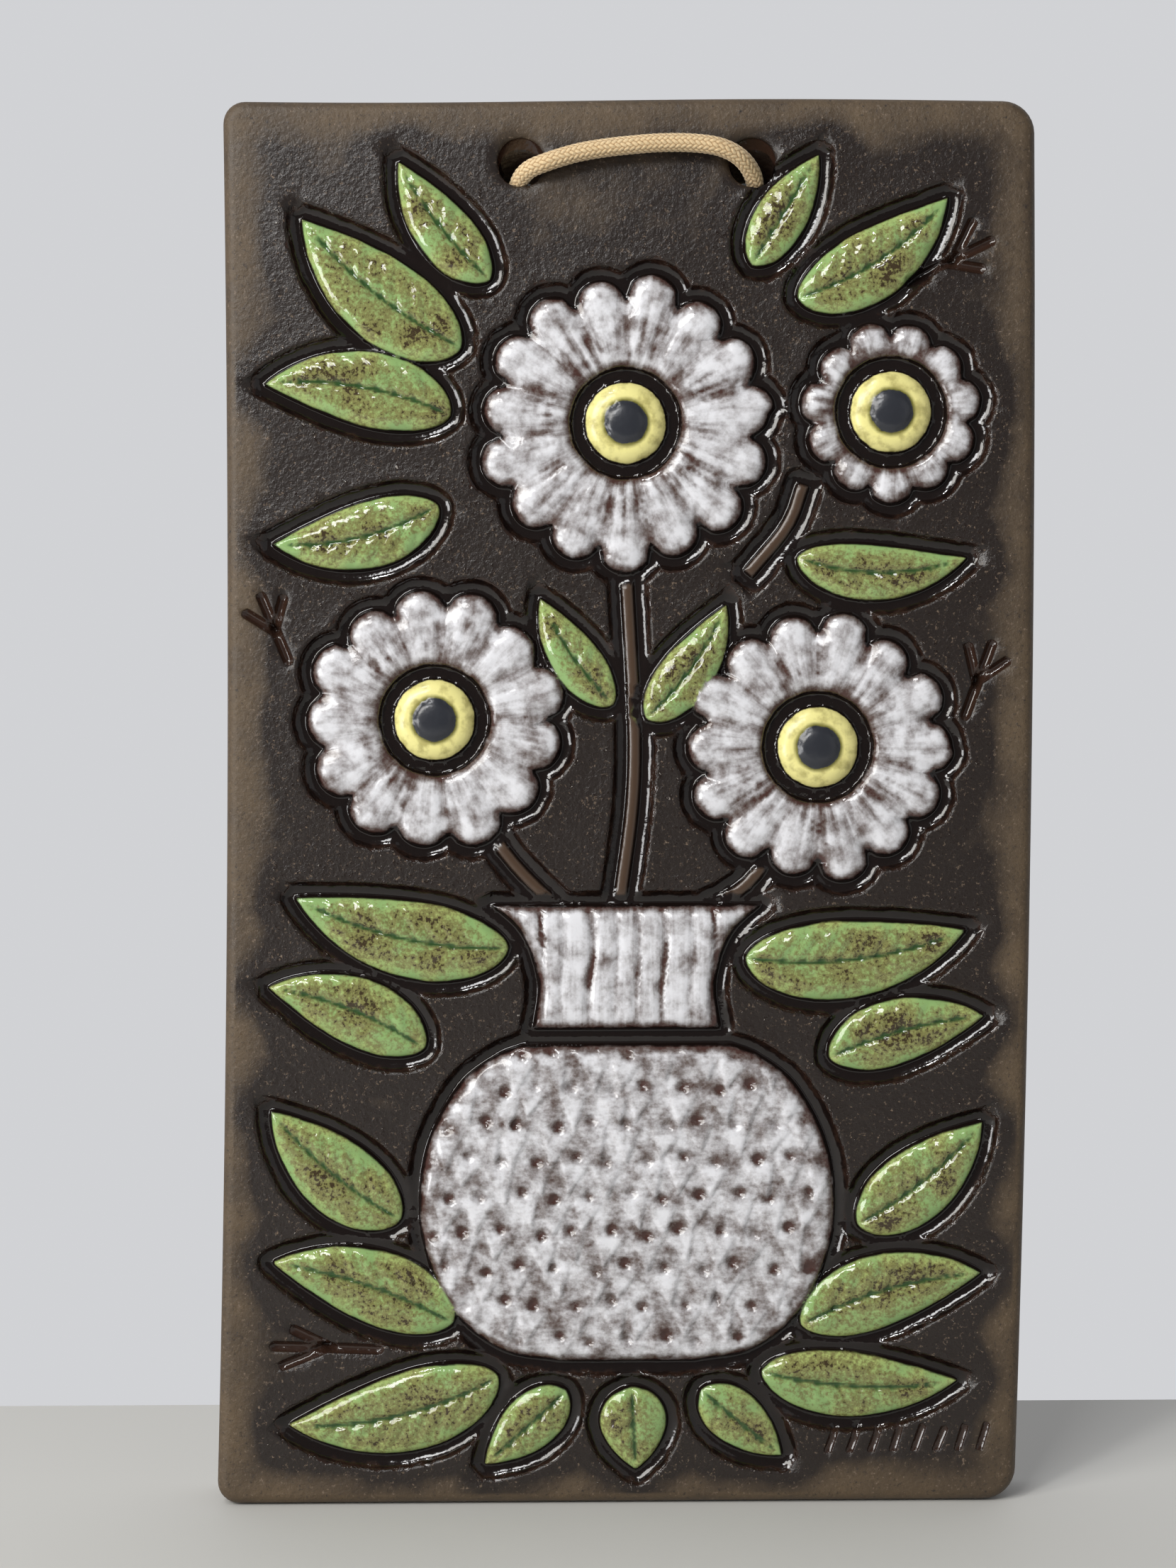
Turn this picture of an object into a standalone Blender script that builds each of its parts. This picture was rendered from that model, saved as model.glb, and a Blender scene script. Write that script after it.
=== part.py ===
"""Decorative wall plaque: a thick stoneware slab with a pressed relief, hung by a cord through two holes.

Lengths are metres. +Z is up, the relief faces -Y, and the origin is the middle of the flat back.
The relief is a jug of ox-eye daisies among leaves. Every form lies in its own pressed groove, so the
face is one height field: the distance to the nearest outline gives the groove, the rim and the dome.
"""
import math

import bmesh
import bpy
import numpy as np
from mathutils import Matrix, Vector
from mathutils.geometry import delaunay_2d_cdt

# Slab
SLAB_WIDTH = 0.178
SLAB_HEIGHT = 0.310
SLAB_THICKNESS = 0.018
CORNER_RADIUS_LEFT = 0.005
CORNER_RADIUS_RIGHT = 0.007
FRONT_EDGE_ROUND = 0.0026
BACK_EDGE_ROUND = 0.0012
SIDE_BOW = 0.0016
SIDE_LEAN = 0.0035
TOP_RIPPLE = 0.0004

# Cord holes and the recess behind them
HOLE_DIAMETER = 0.010
HOLE_SPACING = 0.0506
HOLE_SHIFT = 0.0025
HOLE_DROP = 0.0135
HOLE_LIP = 0.0015
HOLE_SLANT = 1.08
HOLE_OVERLAP = 0.002
RECESS_DEPTH = 0.009
RECESS_HEIGHT = 0.019
RECESS_END_ROOM = 0.010
RECESS_CORNER = 0.006
RECESS_DROP = 0.011

# Relief
GROOVE_WIDTH = 0.003
GROOVE_DEPTH = 0.002
DOME_REACH = 0.0045
JUG_CROWN = 0.0013
PETAL_CROWN = 0.0009
LEAF_CROWN = 0.0008
RING_CROWN = 0.0010
PUPIL_CROWN = 0.0022
STEM_CROWN = -0.0004
STEM_WIDTH = 0.0032
TWIG_WIDTH = 0.0022
TWIG_DEPTH = 0.0012
PETAL_RIB = 0.0008
MIDRIB_DEPTH = 0.0010
MIDRIB_WIDTH = 0.0016
DIMPLE_DEPTH = 0.0008
DIMPLE_PITCH = 0.0080
STROKE_DEPTH = 0.0007
YELLOW_RADIUS = 0.0092
PUPIL_RADIUS = 0.0047
PETAL_CLEARANCE = 0.0026

# Cord and knot
CORD_DIAMETER = 0.004
KNOT_SIZE = (0.0152, 0.0078, 0.0136)
KNOT_CENTRE = (0.0025, -0.0046, 0.1302)

CORD_ROUTE = [
    (-0.0056, -0.0046, 0.1300),
    (-0.0100, -0.0046, 0.1302),
    (-0.0152, -0.0046, 0.1305),
    (-0.0195, -0.0053, 0.1309),
    (-0.0226, -0.0080, 0.1318),
    (-0.0238, -0.0115, 0.1342),
    (-0.0233, -0.0152, 0.1372),
    (-0.0212, -0.0187, 0.1393),
    (-0.0170, -0.0209, 0.1407),
    (-0.0110, -0.0210, 0.1425),
    (-0.0050, -0.0210, 0.1436),
    (0.0012, -0.0210, 0.1443),
    (0.0080, -0.0210, 0.1448),
    (0.0150, -0.0210, 0.1447),
    (0.0208, -0.0209, 0.1438),
    (0.0252, -0.0192, 0.1418),
    (0.0281, -0.0154, 0.1387),
    (0.0288, -0.0115, 0.1350),
    (0.0276, -0.0080, 0.1322),
    (0.0245, -0.0053, 0.1309),
    (0.0202, -0.0046, 0.1305),
    (0.0150, -0.0046, 0.1302),
    (0.0106, -0.0046, 0.1300),
]

# Daisies: centre as shares of the half panel, radius as a share of the width, petals, first petal's turn
DAISIES = [
    ((0.00, 0.545), 0.183, 15, 0.10),
    ((-0.475, 0.125), 0.163, 13, 0.25),
    ((0.475, 0.085), 0.168, 14, 0.00),
    ((0.655, 0.560), 0.112, 11, 0.15),
]

# Leaves: foot, tip, width as a share of the length, sideways bow as a share of the length
LEAVES = [
    ((-0.400, 0.650), (-0.800, 0.835), 0.42, 0.06),
    ((-0.430, 0.555), (-0.895, 0.600), 0.41, -0.07),
    ((-0.330, 0.745), (-0.560, 0.915), 0.40, 0.05),
    ((-0.460, 0.430), (-0.880, 0.375), 0.40, 0.08),
    ((0.420, 0.720), (0.800, 0.865), 0.40, -0.08),
    ((0.310, 0.765), (0.480, 0.925), 0.42, 0.00),
    ((0.420, 0.355), (0.850, 0.355), 0.34, -0.09),
    ((-0.030, 0.145), (-0.215, 0.300), 0.40, 0.05),
    ((0.045, 0.125), (0.250, 0.290), 0.40, -0.06),
    ((-0.290, -0.200), (-0.830, -0.125), 0.36, 0.07),
    ((-0.500, -0.345), (-0.895, -0.255), 0.42, -0.06),
    ((0.290, -0.215), (0.850, -0.175), 0.36, -0.07),
    ((0.500, -0.360), (0.895, -0.300), 0.42, 0.05),
    ((-0.560, -0.590), (-0.890, -0.430), 0.46, 0.05),
    ((0.570, -0.600), (0.890, -0.450), 0.46, -0.05),
    ((-0.430, -0.740), (-0.890, -0.650), 0.40, -0.05),
    ((0.430, -0.745), (0.890, -0.670), 0.40, 0.06),
    ((-0.320, -0.815), (-0.850, -0.885), 0.38, 0.07),
    ((-0.150, -0.835), (-0.360, -0.945), 0.52, 0.00),
    ((0.010, -0.830), (0.020, -0.955), 0.80, 0.00),
    ((0.180, -0.835), (0.390, -0.935), 0.52, 0.00),
    ((0.330, -0.810), (0.830, -0.825), 0.34, -0.05),
]

# Jug: (half width as a share of the half panel, height as a share of the half panel) up its side
JUG_BODY = [
    (0.170, -0.796), (0.320, -0.778), (0.445, -0.715), (0.515, -0.610),
    (0.505, -0.495), (0.425, -0.400), (0.330, -0.355), (0.260, -0.338),
]
JUG_NECK = [(0.235, -0.318), (0.222, -0.250), (0.262, -0.182), (0.340, -0.138)]
JUG_NECK_STROKES = 11

# Stems from the jug's mouth to the daisies and the spray at the top right, as points on a curve
STEMS = [
    [(-0.02, -0.150), (0.02, 0.060), (0.00, 0.350)],
    [(-0.16, -0.150), (-0.28, -0.080), (-0.38, 0.000)],
    [(0.18, -0.150), (0.30, -0.110), (0.40, -0.030)],
    [(0.44, 0.460), (0.40, 0.400), (0.30, 0.330)],
]

# Forked twigs: foot, tip, then the side shoots as (share along, turn in degrees, share of the length)
TWIGS = [
    ((0.700, 0.745), (0.900, 0.800), [(0.55, 38, 0.45), (0.45, -35, 0.40)]),
    ((-0.835, 0.210), (-0.900, 0.300), [(0.45, 36, 0.50), (0.50, -38, 0.45)]),
    ((0.840, 0.130), (0.905, 0.230), [(0.45, 34, 0.50), (0.50, -36, 0.45)]),
    ((-0.620, -0.775), (-0.880, -0.770), [(0.50, 24, 0.45), (0.45, -24, 0.40)]),
]

# Row of shallow slanted strokes at the lower right
MARK_ROW_START = (0.500, -0.925)
MARK_ROW_END = (0.880, -0.922)
MARK_COUNT = 8
MARK_HEIGHT = 0.0050
MARK_SLANT = 0.0016
MARK_DEPTH = 0.0006
MARK_WIDTH = 0.0016

# Facets
SIDE_STEP = 0.016
CORNER_STEPS = 4
ROUND_STEPS = 2
LEAF_STEPS = 9
PETAL_STEPS = 4
CIRCLE_STEPS = 16
CORD_STEP = 0.0030
LINE_STEP = 0.005
RING_TOLERANCE = 0.0003
BORDER_ROOM = 0.001
MERGE_DISTANCE = 0.00001


def panel_point(share):
    """A place on the face, from its shares of the half width and half height."""
    return np.array((share[0] * SLAB_WIDTH / 2, share[1] * SLAB_HEIGHT / 2))


def smooth_curve(points, count):
    """Points at even parameter steps along a Catmull-Rom curve through the given ones."""
    points = np.asarray(points, float)
    padded = np.vstack([2 * points[0] - points[1], points, 2 * points[-1] - points[-2]])
    result = []
    for value in np.linspace(0, len(points) - 1, count):
        i = min(int(value), len(points) - 2)
        t = value - i
        a, b, c, d = padded[i:i + 4]
        result.append(0.5 * (2 * b + (c - a) * t + (2 * a - 5 * b + 4 * c - d) * t ** 2
                             + (3 * b - a - 3 * c + d) * t ** 3))
    return np.array(result)


def even_curve(points, step):
    """The same curve with its points a set distance apart."""
    fine = smooth_curve(points, 40 * len(points))
    run = np.concatenate([[0], np.cumsum(np.linalg.norm(np.diff(fine, axis=0), axis=1))])
    places = np.linspace(0, run[-1], max(3, round(run[-1] / step) + 1))
    return np.stack([np.interp(places, run, fine[:, k]) for k in range(fine.shape[1])], axis=1)


def normals_2d(outline, closed=True):
    """Unit normals at an outline's points, to the right of its run."""
    if closed:
        run = np.roll(outline, -1, axis=0) - np.roll(outline, 1, axis=0)
    else:
        run = np.gradient(outline, axis=0)
    run = run / np.linalg.norm(run, axis=1)[:, None]
    return np.stack([run[:, 1], -run[:, 0]], axis=1)


def segment_distance(points, start, end):
    """Distance from each point to the nearest of the segments."""
    run = end - start
    reach = points[:, None] - start[None]
    share = np.clip((reach * run).sum(-1) / np.maximum((run * run).sum(-1), 1e-18), 0, 1)
    return np.linalg.norm(reach - share[..., None] * run, axis=-1).min(axis=1)


def signed_distance(points, outline):
    """Distance from each point to a closed outline, negative inside it."""
    end = np.roll(outline, -1, axis=0)
    distance = segment_distance(points, outline, end)
    x, z = points[:, 0][:, None], points[:, 1][:, None]
    crosses = (outline[:, 1] > z) != (end[:, 1] > z)
    rise = np.where(end[:, 1] == outline[:, 1], 1e-12, end[:, 1] - outline[:, 1])
    at = outline[:, 0] + (z - outline[:, 1]) * (end[:, 0] - outline[:, 0]) / rise
    inside = (crosses & (x < at)).sum(axis=1) % 2 == 1
    return np.where(inside, -distance, distance)


class Form:
    """One raised form of the relief: its outlines and how far its dome stands over the face."""

    def __init__(self, kind, outline, crown, opening=None, **details):
        self.kind = kind
        self.outline = outline
        self.opening = opening
        self.crown = crown
        self.details = details

    def distance(self, points):
        result = signed_distance(points, self.outline)
        if self.opening is not None:
            result = np.maximum(result, -signed_distance(points, self.opening))
        return result


def circle(centre, radius, steps=CIRCLE_STEPS):
    turn = np.arange(steps) * math.tau / steps
    return centre + radius * np.stack([np.cos(turn), np.sin(turn)], axis=1)


def daisy(share, radius_share, petals, turn):
    """A ring of petals with a domed yellow ring in its middle."""
    centre = panel_point(share)
    radius = radius_share * SLAB_WIDTH
    angle = (np.arange(petals * PETAL_STEPS) / PETAL_STEPS - 0.5) * math.tau / petals
    lobe = np.abs(np.cos(petals * angle / 2))
    uneven = 1 + 0.025 * np.sin(2.4 * np.round(petals * angle / math.tau) + 9 * turn)
    reach = radius * uneven * (0.86 + 0.14 * lobe ** 0.6)
    around = np.stack([np.cos(angle + turn), np.sin(angle + turn)], axis=1)
    flower = Form("petals", centre + reach[:, None] * around, PETAL_CROWN,
                  opening=circle(centre, YELLOW_RADIUS + PETAL_CLEARANCE),
                  centre=centre, petals=petals, turn=turn)
    return [flower, Form("ring", circle(centre, YELLOW_RADIUS), RING_CROWN, centre=centre)]


def leaf(foot, tip, width_share, bow_share):
    """A pointed leaf with a bowed midrib."""
    foot, tip = panel_point(foot), panel_point(tip)
    run = tip - foot
    side = np.array((-run[1], run[0]))
    t = (1 - np.cos(np.linspace(0, math.pi, LEAF_STEPS + 1))) / 2
    rib = foot + t[:, None] * run + (4 * bow_share * t * (1 - t))[:, None] * side
    half = width_share / 2 * t ** 0.6 * (1 - t) ** 0.9 / 0.364
    across = normals_2d(rib, closed=False) * np.linalg.norm(run)
    outline = np.vstack([rib + half[:, None] * across, (rib - half[:, None] * across)[-2:0:-1]])
    return Form("leaf", outline, LEAF_CROWN, rib=rib)


def half_profile(profile, kind, crown, **details):
    """A form that is the same left and right of the panel's middle, from its side's points."""
    side = smooth_curve(profile, 4 * len(profile))
    side = np.array([panel_point(p) for p in side])
    mirrored = side[::-1] * (-1, 1)
    foot = np.stack([np.linspace(mirrored[-1][0], side[0][0], 6)[1:-1], np.full(4, side[0][1])], axis=1)
    top = np.stack([np.linspace(side[-1][0], mirrored[0][0], 8)[1:-1], np.full(6, side[-1][1])], axis=1)
    return Form(kind, np.vstack([side, top, mirrored, foot]), crown, **details)


def stem(points):
    """A narrow raised band along a curve."""
    line = even_curve([panel_point(p) for p in points], 0.007)
    across = normals_2d(line, closed=False) * STEM_WIDTH / 2
    return Form("stem", np.vstack([line + across, (line - across)[::-1]]), STEM_CROWN)


def pressed_lines():
    """Every line pressed into the bare ground, as (points, width, depth)."""
    lines = []
    for foot, tip, shoots in TWIGS:
        foot, tip = panel_point(foot), panel_point(tip)
        run = tip - foot
        lines.append((np.array([foot, foot + run / 2, tip]), TWIG_WIDTH, TWIG_DEPTH))
        for along, degrees, share in shoots:
            c, s = math.cos(math.radians(degrees)), math.sin(math.radians(degrees))
            shoot = share * np.array((c * run[0] - s * run[1], s * run[0] + c * run[1]))
            start = foot + along * run
            lines.append((np.array([start, start + shoot]), TWIG_WIDTH, TWIG_DEPTH))
    start, end = panel_point(MARK_ROW_START), panel_point(MARK_ROW_END)
    for k in range(MARK_COUNT):
        foot = start + (end - start) * k / (MARK_COUNT - 1)
        lean = MARK_SLANT * (1 + 0.15 * math.sin(1.7 * k))
        tall = MARK_HEIGHT * (0.94 + 0.06 * math.sin(2.1 * k))
        lines.append((np.array([foot, foot + (lean, tall)]), MARK_WIDTH, MARK_DEPTH))
    return lines


def relief_forms():
    """All raised forms, the ones in front first: a stem stops at the grooves of the others."""
    forms = []
    for row in DAISIES:
        forms += daisy(*row)
    forms.append(half_profile(JUG_BODY, "body", JUG_CROWN))
    forms.append(half_profile(JUG_NECK, "neck", JUG_CROWN))
    forms += [leaf(*row) for row in LEAVES]
    forms += [stem(row) for row in STEMS]
    return forms


def hole_centres():
    """The two cord holes, left and right."""
    top = SLAB_HEIGHT / 2 - HOLE_DROP
    return [np.array((HOLE_SHIFT + side * HOLE_SPACING / 2, top)) for side in (-1, 1)]


def nearest_form(forms, points):
    """Distance to the nearest form, negative inside, and which form that is."""
    table = np.stack([form.distance(points) for form in forms])
    front = table[[form.kind != "stem" for form in forms]].min(axis=0)
    for row, form in zip(table, forms):
        if form.kind == "stem":
            row[:] = np.maximum(row, GROOVE_WIDTH / 2 - front)
    return table.min(axis=0), table.argmin(axis=0)


def dome(depth_inside, reach):
    """Quarter-round rise from 0 at an edge to 1 at the reach."""
    share = np.clip(depth_inside / reach, 0, 1)
    return np.sqrt(1 - (1 - share) ** 2)


def petal_detail(form, points):
    """Petals bulge along their middles and meet in creases."""
    reach = points - form.details["centre"]
    angle = np.arctan2(reach[:, 1], reach[:, 0]) - form.details["turn"]
    return PETAL_RIB * (np.abs(np.cos(form.details["petals"] * angle / 2)) - 1)


def ring_detail(form, points):
    """The dark middle stands as a small dome on the yellow ring."""
    radius = np.linalg.norm(points - form.details["centre"], axis=1)
    return (PUPIL_CROWN - RING_CROWN) * dome(PUPIL_RADIUS - radius, PUPIL_RADIUS)


def leaf_detail(form, points):
    """A groove along the midrib."""
    rib = form.details["rib"]
    away = segment_distance(points, rib[:-1], rib[1:])
    return -MIDRIB_DEPTH * np.clip(1 - away / MIDRIB_WIDTH, 0, 1)


def dimple_rows():
    """Centres of the tool marks on the jug's body, in staggered rows."""
    low, high = JUG_BODY[0][1] * SLAB_HEIGHT / 2, JUG_BODY[-1][1] * SLAB_HEIGHT / 2
    half = max(p[0] for p in JUG_BODY) * SLAB_WIDTH / 2
    rows = int((high - low) / DIMPLE_PITCH)
    columns = int(half / DIMPLE_PITCH)
    return np.array([((k + 0.5 * (row % 2)) * DIMPLE_PITCH, low + (row + 0.7) * DIMPLE_PITCH)
                     for row in range(rows) for k in range(-columns, columns + 1)])


def body_detail(form, points):
    """Dimples from a round-nosed tool."""
    nearest = np.full(len(points), SLAB_HEIGHT)
    for centre in dimple_rows():
        nearest = np.minimum(nearest, np.linalg.norm(points - centre, axis=1))
    return -DIMPLE_DEPTH * np.clip(1 - nearest / (DIMPLE_PITCH / 2), 0, 1)


def neck_detail(form, points):
    """Upright strokes side by side."""
    width = JUG_NECK[-1][0] * SLAB_WIDTH
    return STROKE_DEPTH * (np.abs(np.cos(math.pi * points[:, 0] * JUG_NECK_STROKES / width)) - 1)


DETAILS = {"petals": petal_detail, "ring": ring_detail, "leaf": leaf_detail,
           "body": body_detail, "neck": neck_detail}


def face_height(forms, lines, points):
    """How far the face stands over its bare ground at each point."""
    distance, which = nearest_form(forms, points)
    groove = np.clip(distance / GROOVE_WIDTH, 0, 1)
    height = -GROOVE_DEPTH * np.sqrt(np.clip(1 - groove ** 2, 0, 1))
    for k, form in enumerate(forms):
        mask = (which == k) & (distance < 0)
        if not mask.any():
            continue
        inside = -distance[mask]
        rise = -GROOVE_DEPTH + (GROOVE_DEPTH + form.crown) * dome(inside, DOME_REACH)
        if form.kind in DETAILS:
            rise += DETAILS[form.kind](form, points[mask]) * np.clip(inside / DOME_REACH * 1.6, 0, 1)
        height[mask] = rise
    for line, width, depth in lines:
        away = segment_distance(points, line[:-1], line[1:])
        height -= depth * np.clip(1 - away / (width / 2), 0, 1)
    for centre in hole_centres():
        away = np.linalg.norm(points - centre, axis=1) - HOLE_DIAMETER / 2
        height -= HOLE_LIP * (1 - dome(away, 2 * HOLE_LIP))
    return height


def slab_outline():
    """The slab's outline, anticlockwise, and its normals: a rounded rectangle."""
    half = np.array((SLAB_WIDTH, SLAB_HEIGHT)) / 2
    points, normals = [], []
    for quarter, (sx, sz) in enumerate(((1, -1), (1, 1), (-1, 1), (-1, -1))):
        radius = CORNER_RADIUS_RIGHT if sx > 0 else CORNER_RADIUS_LEFT
        centre = half * (sx, sz) - radius * np.array((sx, sz))
        for k in range(CORNER_STEPS + 1):
            turn = math.radians(-90 + 90 * (quarter + k / CORNER_STEPS))
            normals.append(np.array((math.cos(turn), math.sin(turn))))
            points.append(centre + radius * normals[-1])
    full_points, full_normals = [], []
    for k, (point, normal) in enumerate(zip(points, normals)):
        following = points[(k + 1) % len(points)]
        full_points.append(point)
        full_normals.append(normal)
        if (k + 1) % (CORNER_STEPS + 1) == 0:
            parts = max(2, round(np.linalg.norm(following - point) / SIDE_STEP))
            full_points += [point + (following - point) * i / parts for i in range(1, parts)]
            full_normals += [normal] * (parts - 1)
    return np.array(full_points), np.array(full_normals)


def hand_bent(points):
    """The lean and bow of both sides and the ripple of the top that hand pressing leaves."""
    half_width, half_height = SLAB_WIDTH / 2, SLAB_HEIGHT / 2
    x, z = points[:, 0], points[:, 1]
    bow = SIDE_BOW * (0.5 - (z / half_height) ** 2) + SIDE_LEAN / 2 * z / half_height
    ripple = TOP_RIPPLE * np.sin(3.1 * x / half_width + 0.4) * np.clip(z / half_height, 0, 1)
    return np.stack([x + bow, z + ripple], axis=1)


def contour(form, outline, offset):
    """A form's outline moved outwards by the offset, with sharp tips kept within bounds."""
    side = 1 if form.opening is None or outline is form.outline else -1
    before = outline - np.roll(outline, 1, axis=0)
    after = np.roll(outline, -1, axis=0) - outline
    n1 = np.stack([before[:, 1], -before[:, 0]], axis=1) / np.linalg.norm(before, axis=1)[:, None]
    n2 = np.stack([after[:, 1], -after[:, 0]], axis=1) / np.linalg.norm(after, axis=1)[:, None]
    area = (outline[:, 0] * np.roll(outline[:, 1], -1) - outline[:, 1] * np.roll(outline[:, 0], -1)).sum()
    middle = n1 + n2
    middle /= np.maximum(np.linalg.norm(middle, axis=1), 1e-9)[:, None]
    widen = 1 / np.maximum((middle * n1).sum(axis=1), 0.5)
    if side * offset > 0:
        widen = np.minimum(widen, 1.1)
    return outline + side * np.sign(area) * offset * widen[:, None] * middle


def ring_points(forms, border):
    """Points and kept edges along every form's contours."""
    points, edges = [], []
    offsets = (GROOVE_WIDTH, 0.35 * GROOVE_WIDTH, -0.2 * DOME_REACH, -0.8 * DOME_REACH)
    for form in forms:
        for outline in filter(lambda o: o is not None, (form.outline, form.opening)):
            for offset in offsets:
                moved = contour(form, outline, offset)
                distance, _ = nearest_form(forms, moved)
                keep = np.abs(distance - offset) < 0.25 * abs(offset) + RING_TOLERANCE
                keep &= signed_distance(moved, border) < -BORDER_ROOM
                first = len(points)
                index = np.full(len(moved), -1)
                index[keep] = first + np.arange(keep.sum())
                points += list(moved[keep])
                following = np.roll(index, -1)
                edges += [(a, b) for a, b in zip(index, following) if a >= 0 and b >= 0]
    return points, edges


def detail_points(forms):
    """Points on the details inside the forms: dark middles, tool marks and strokes."""
    points = []
    for form in forms:
        if form.kind == "ring":
            for share in (0.15, 0.75, 1.0):
                points += list(circle(form.details["centre"], PUPIL_RADIUS * share, 10 if share > 0.2 else 4))
        if form.kind == "body":
            marks = dimple_rows()
            beside = marks + (DIMPLE_PITCH / 2, 0)
            above = marks + (0, DIMPLE_PITCH / 2)
            grid = np.vstack([marks, beside, above])
            points += list(grid[signed_distance(grid, form.outline) < -0.8 * DOME_REACH])
        if form.kind == "neck":
            width = JUG_NECK[-1][0] * SLAB_WIDTH
            low, high = (JUG_NECK[k][1] * SLAB_HEIGHT / 2 for k in (0, -1))
            grid = np.array([(k * width / JUG_NECK_STROKES / 2, low + (high - low) * share)
                             for k in range(-JUG_NECK_STROKES, JUG_NECK_STROKES + 1)
                             for share in (0.16, 0.5, 0.84)])
            points += list(grid[signed_distance(grid, form.outline) < -0.25 * DOME_REACH])
    return points


def fold_lines(forms, lines):
    """Kept runs of points: the leaves' midribs, and the bottom and both sides of each pressed line."""
    runs = [form.details["rib"][1:-1] for form in forms if form.kind == "leaf"]
    for line, width, _ in lines:
        line = even_curve(line, LINE_STEP)
        across = normals_2d(line, closed=False) * width / 2
        ahead = (line[-1] - line[-2]) / np.linalg.norm(line[-1] - line[-2]) * width / 2
        runs += [line, np.vstack([line + across, line[-1:] + ahead, (line - across)[::-1], line[:1] - ahead])]
    return runs


def relief_sheet(border):
    """The carved face as points and triangles, with the border's points first."""
    forms, lines = relief_forms(), pressed_lines()
    rings, edges = ring_points(forms, border)
    first = len(border)
    edges = [(k, (k + 1) % first) for k in range(first)] + [(a + first, b + first) for a, b in edges]
    for run in fold_lines(forms, lines):
        inside = signed_distance(run, border) < -BORDER_ROOM
        places = first + len(rings) + np.cumsum(inside) - 1
        rings += list(run[inside])
        edges += [(int(places[k]), int(places[k + 1])) for k in range(len(run) - 1) if inside[k] and inside[k + 1]]
    loose = detail_points(forms)
    for centre in hole_centres():
        for room in (0.25 * HOLE_LIP, 2 * HOLE_LIP):
            loose += list(circle(centre, HOLE_DIAMETER / 2 + room))
    every = [Vector(p) for p in list(border) + rings + loose]
    filled = delaunay_2d_cdt(every, edges, [], 1, MERGE_DISTANCE)
    flat = np.array([(v.x, v.y) for v in filled[0]])
    height = face_height(forms, lines, flat)
    on_border = segment_distance(flat, border, np.roll(border, -1, axis=0)) < MERGE_DISTANCE
    height[on_border] = 0
    return flat, height, filled[2]


def make_slab(collection):
    """The slab: the carved sheet in front, rounded edges, and a flat back."""
    outer, normals = slab_outline()
    front_round = min(FRONT_EDGE_ROUND, 0.6 * CORNER_RADIUS_LEFT, 0.6 * CORNER_RADIUS_RIGHT)
    border = hand_bent(outer - front_round * normals)
    flat, height, faces = relief_sheet(border)
    mesh = bmesh.new()
    for (x, z), rise in zip(flat, height):
        mesh.verts.new((x, -SLAB_THICKNESS - rise, z))
    mesh.verts.ensure_lookup_table()
    for face in faces:
        mesh.faces.new([mesh.verts[k] for k in face])
    ring = [min(mesh.verts, key=lambda v: (v.co.x - x) ** 2 + (v.co.z - z) ** 2) for x, z in border]
    quarter = [math.pi / 2 * (k + 1) / ROUND_STEPS for k in range(ROUND_STEPS)]
    levels = [(front_round * (1 - math.sin(a)), -SLAB_THICKNESS + front_round * (1 - math.cos(a)))
              for a in quarter]
    levels += [(0, -BACK_EDGE_ROUND), (BACK_EDGE_ROUND, 0)]
    for inset, depth in levels:
        places = hand_bent(outer - inset * normals)
        following = [mesh.verts.new((x, depth, z)) for x, z in places]
        for k in range(len(ring)):
            n = (k + 1) % len(ring)
            mesh.faces.new((ring[k], ring[n], following[n], following[k]))
        ring = following
    mesh.faces.new(ring)
    bmesh.ops.recalc_face_normals(mesh, faces=mesh.faces[:])
    bmesh.ops.triangulate(mesh, faces=mesh.faces[:])
    return add_mesh("plaque", mesh, collection)


def add_mesh(name, mesh, collection):
    data = bpy.data.meshes.new(name)
    mesh.to_mesh(data)
    mesh.free()
    item = bpy.data.objects.new(name, data)
    collection.objects.link(item)
    return item


def hide_cutter(item):
    item.hide_render = True
    item.display_type = "WIRE"


def cut(target, cutter):
    step = target.modifiers.new(cutter.name, "BOOLEAN")
    step.operation = "DIFFERENCE"
    step.solver = "EXACT"
    step.object = cutter


def make_hole_cutters(collection):
    """A round bar at each cord hole, slanting down from the front face into the recess."""
    cutters = []
    reach = SLAB_THICKNESS - RECESS_DEPTH + 2 * HOLE_OVERLAP
    for name, centre in zip(("left_hole", "right_hole"), hole_centres()):
        mesh = bmesh.new()
        bmesh.ops.create_cone(mesh, cap_ends=True, segments=24, radius1=HOLE_DIAMETER / 2,
                              radius2=HOLE_DIAMETER / 2, depth=reach)
        bmesh.ops.rotate(mesh, matrix=Matrix.Rotation(math.pi / 2, 3, "X"), verts=mesh.verts[:])
        for vert in mesh.verts:
            vert.co.z -= HOLE_SLANT * (vert.co.y + reach / 2 - HOLE_OVERLAP)
        item = add_mesh(name + "_cutter", mesh, collection)
        item.location = (centre[0], reach / 2 - SLAB_THICKNESS - HOLE_OVERLAP, centre[1])
        hide_cutter(item)
        cutters.append(item)
    return cutters


def make_recess_cutter(collection):
    """A block with rounded corners, sunk into the back behind the two holes."""
    width = HOLE_SPACING + 2 * RECESS_END_ROOM
    mesh = bmesh.new()
    bmesh.ops.create_cube(mesh, size=1)
    bmesh.ops.scale(mesh, vec=(width, 2 * RECESS_DEPTH, RECESS_HEIGHT), verts=mesh.verts[:])
    along_depth = [e for e in mesh.edges if abs(e.verts[0].co.y - e.verts[1].co.y) > RECESS_DEPTH]
    bmesh.ops.bevel(mesh, geom=along_depth, offset=min(RECESS_CORNER, 0.45 * RECESS_HEIGHT),
                    segments=4, profile=0.5, affect="EDGES")
    item = add_mesh("recess_cutter", mesh, collection)
    item.location = (HOLE_SHIFT, 0, hole_centres()[0][1] - RECESS_DROP)
    hide_cutter(item)
    return item


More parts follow.
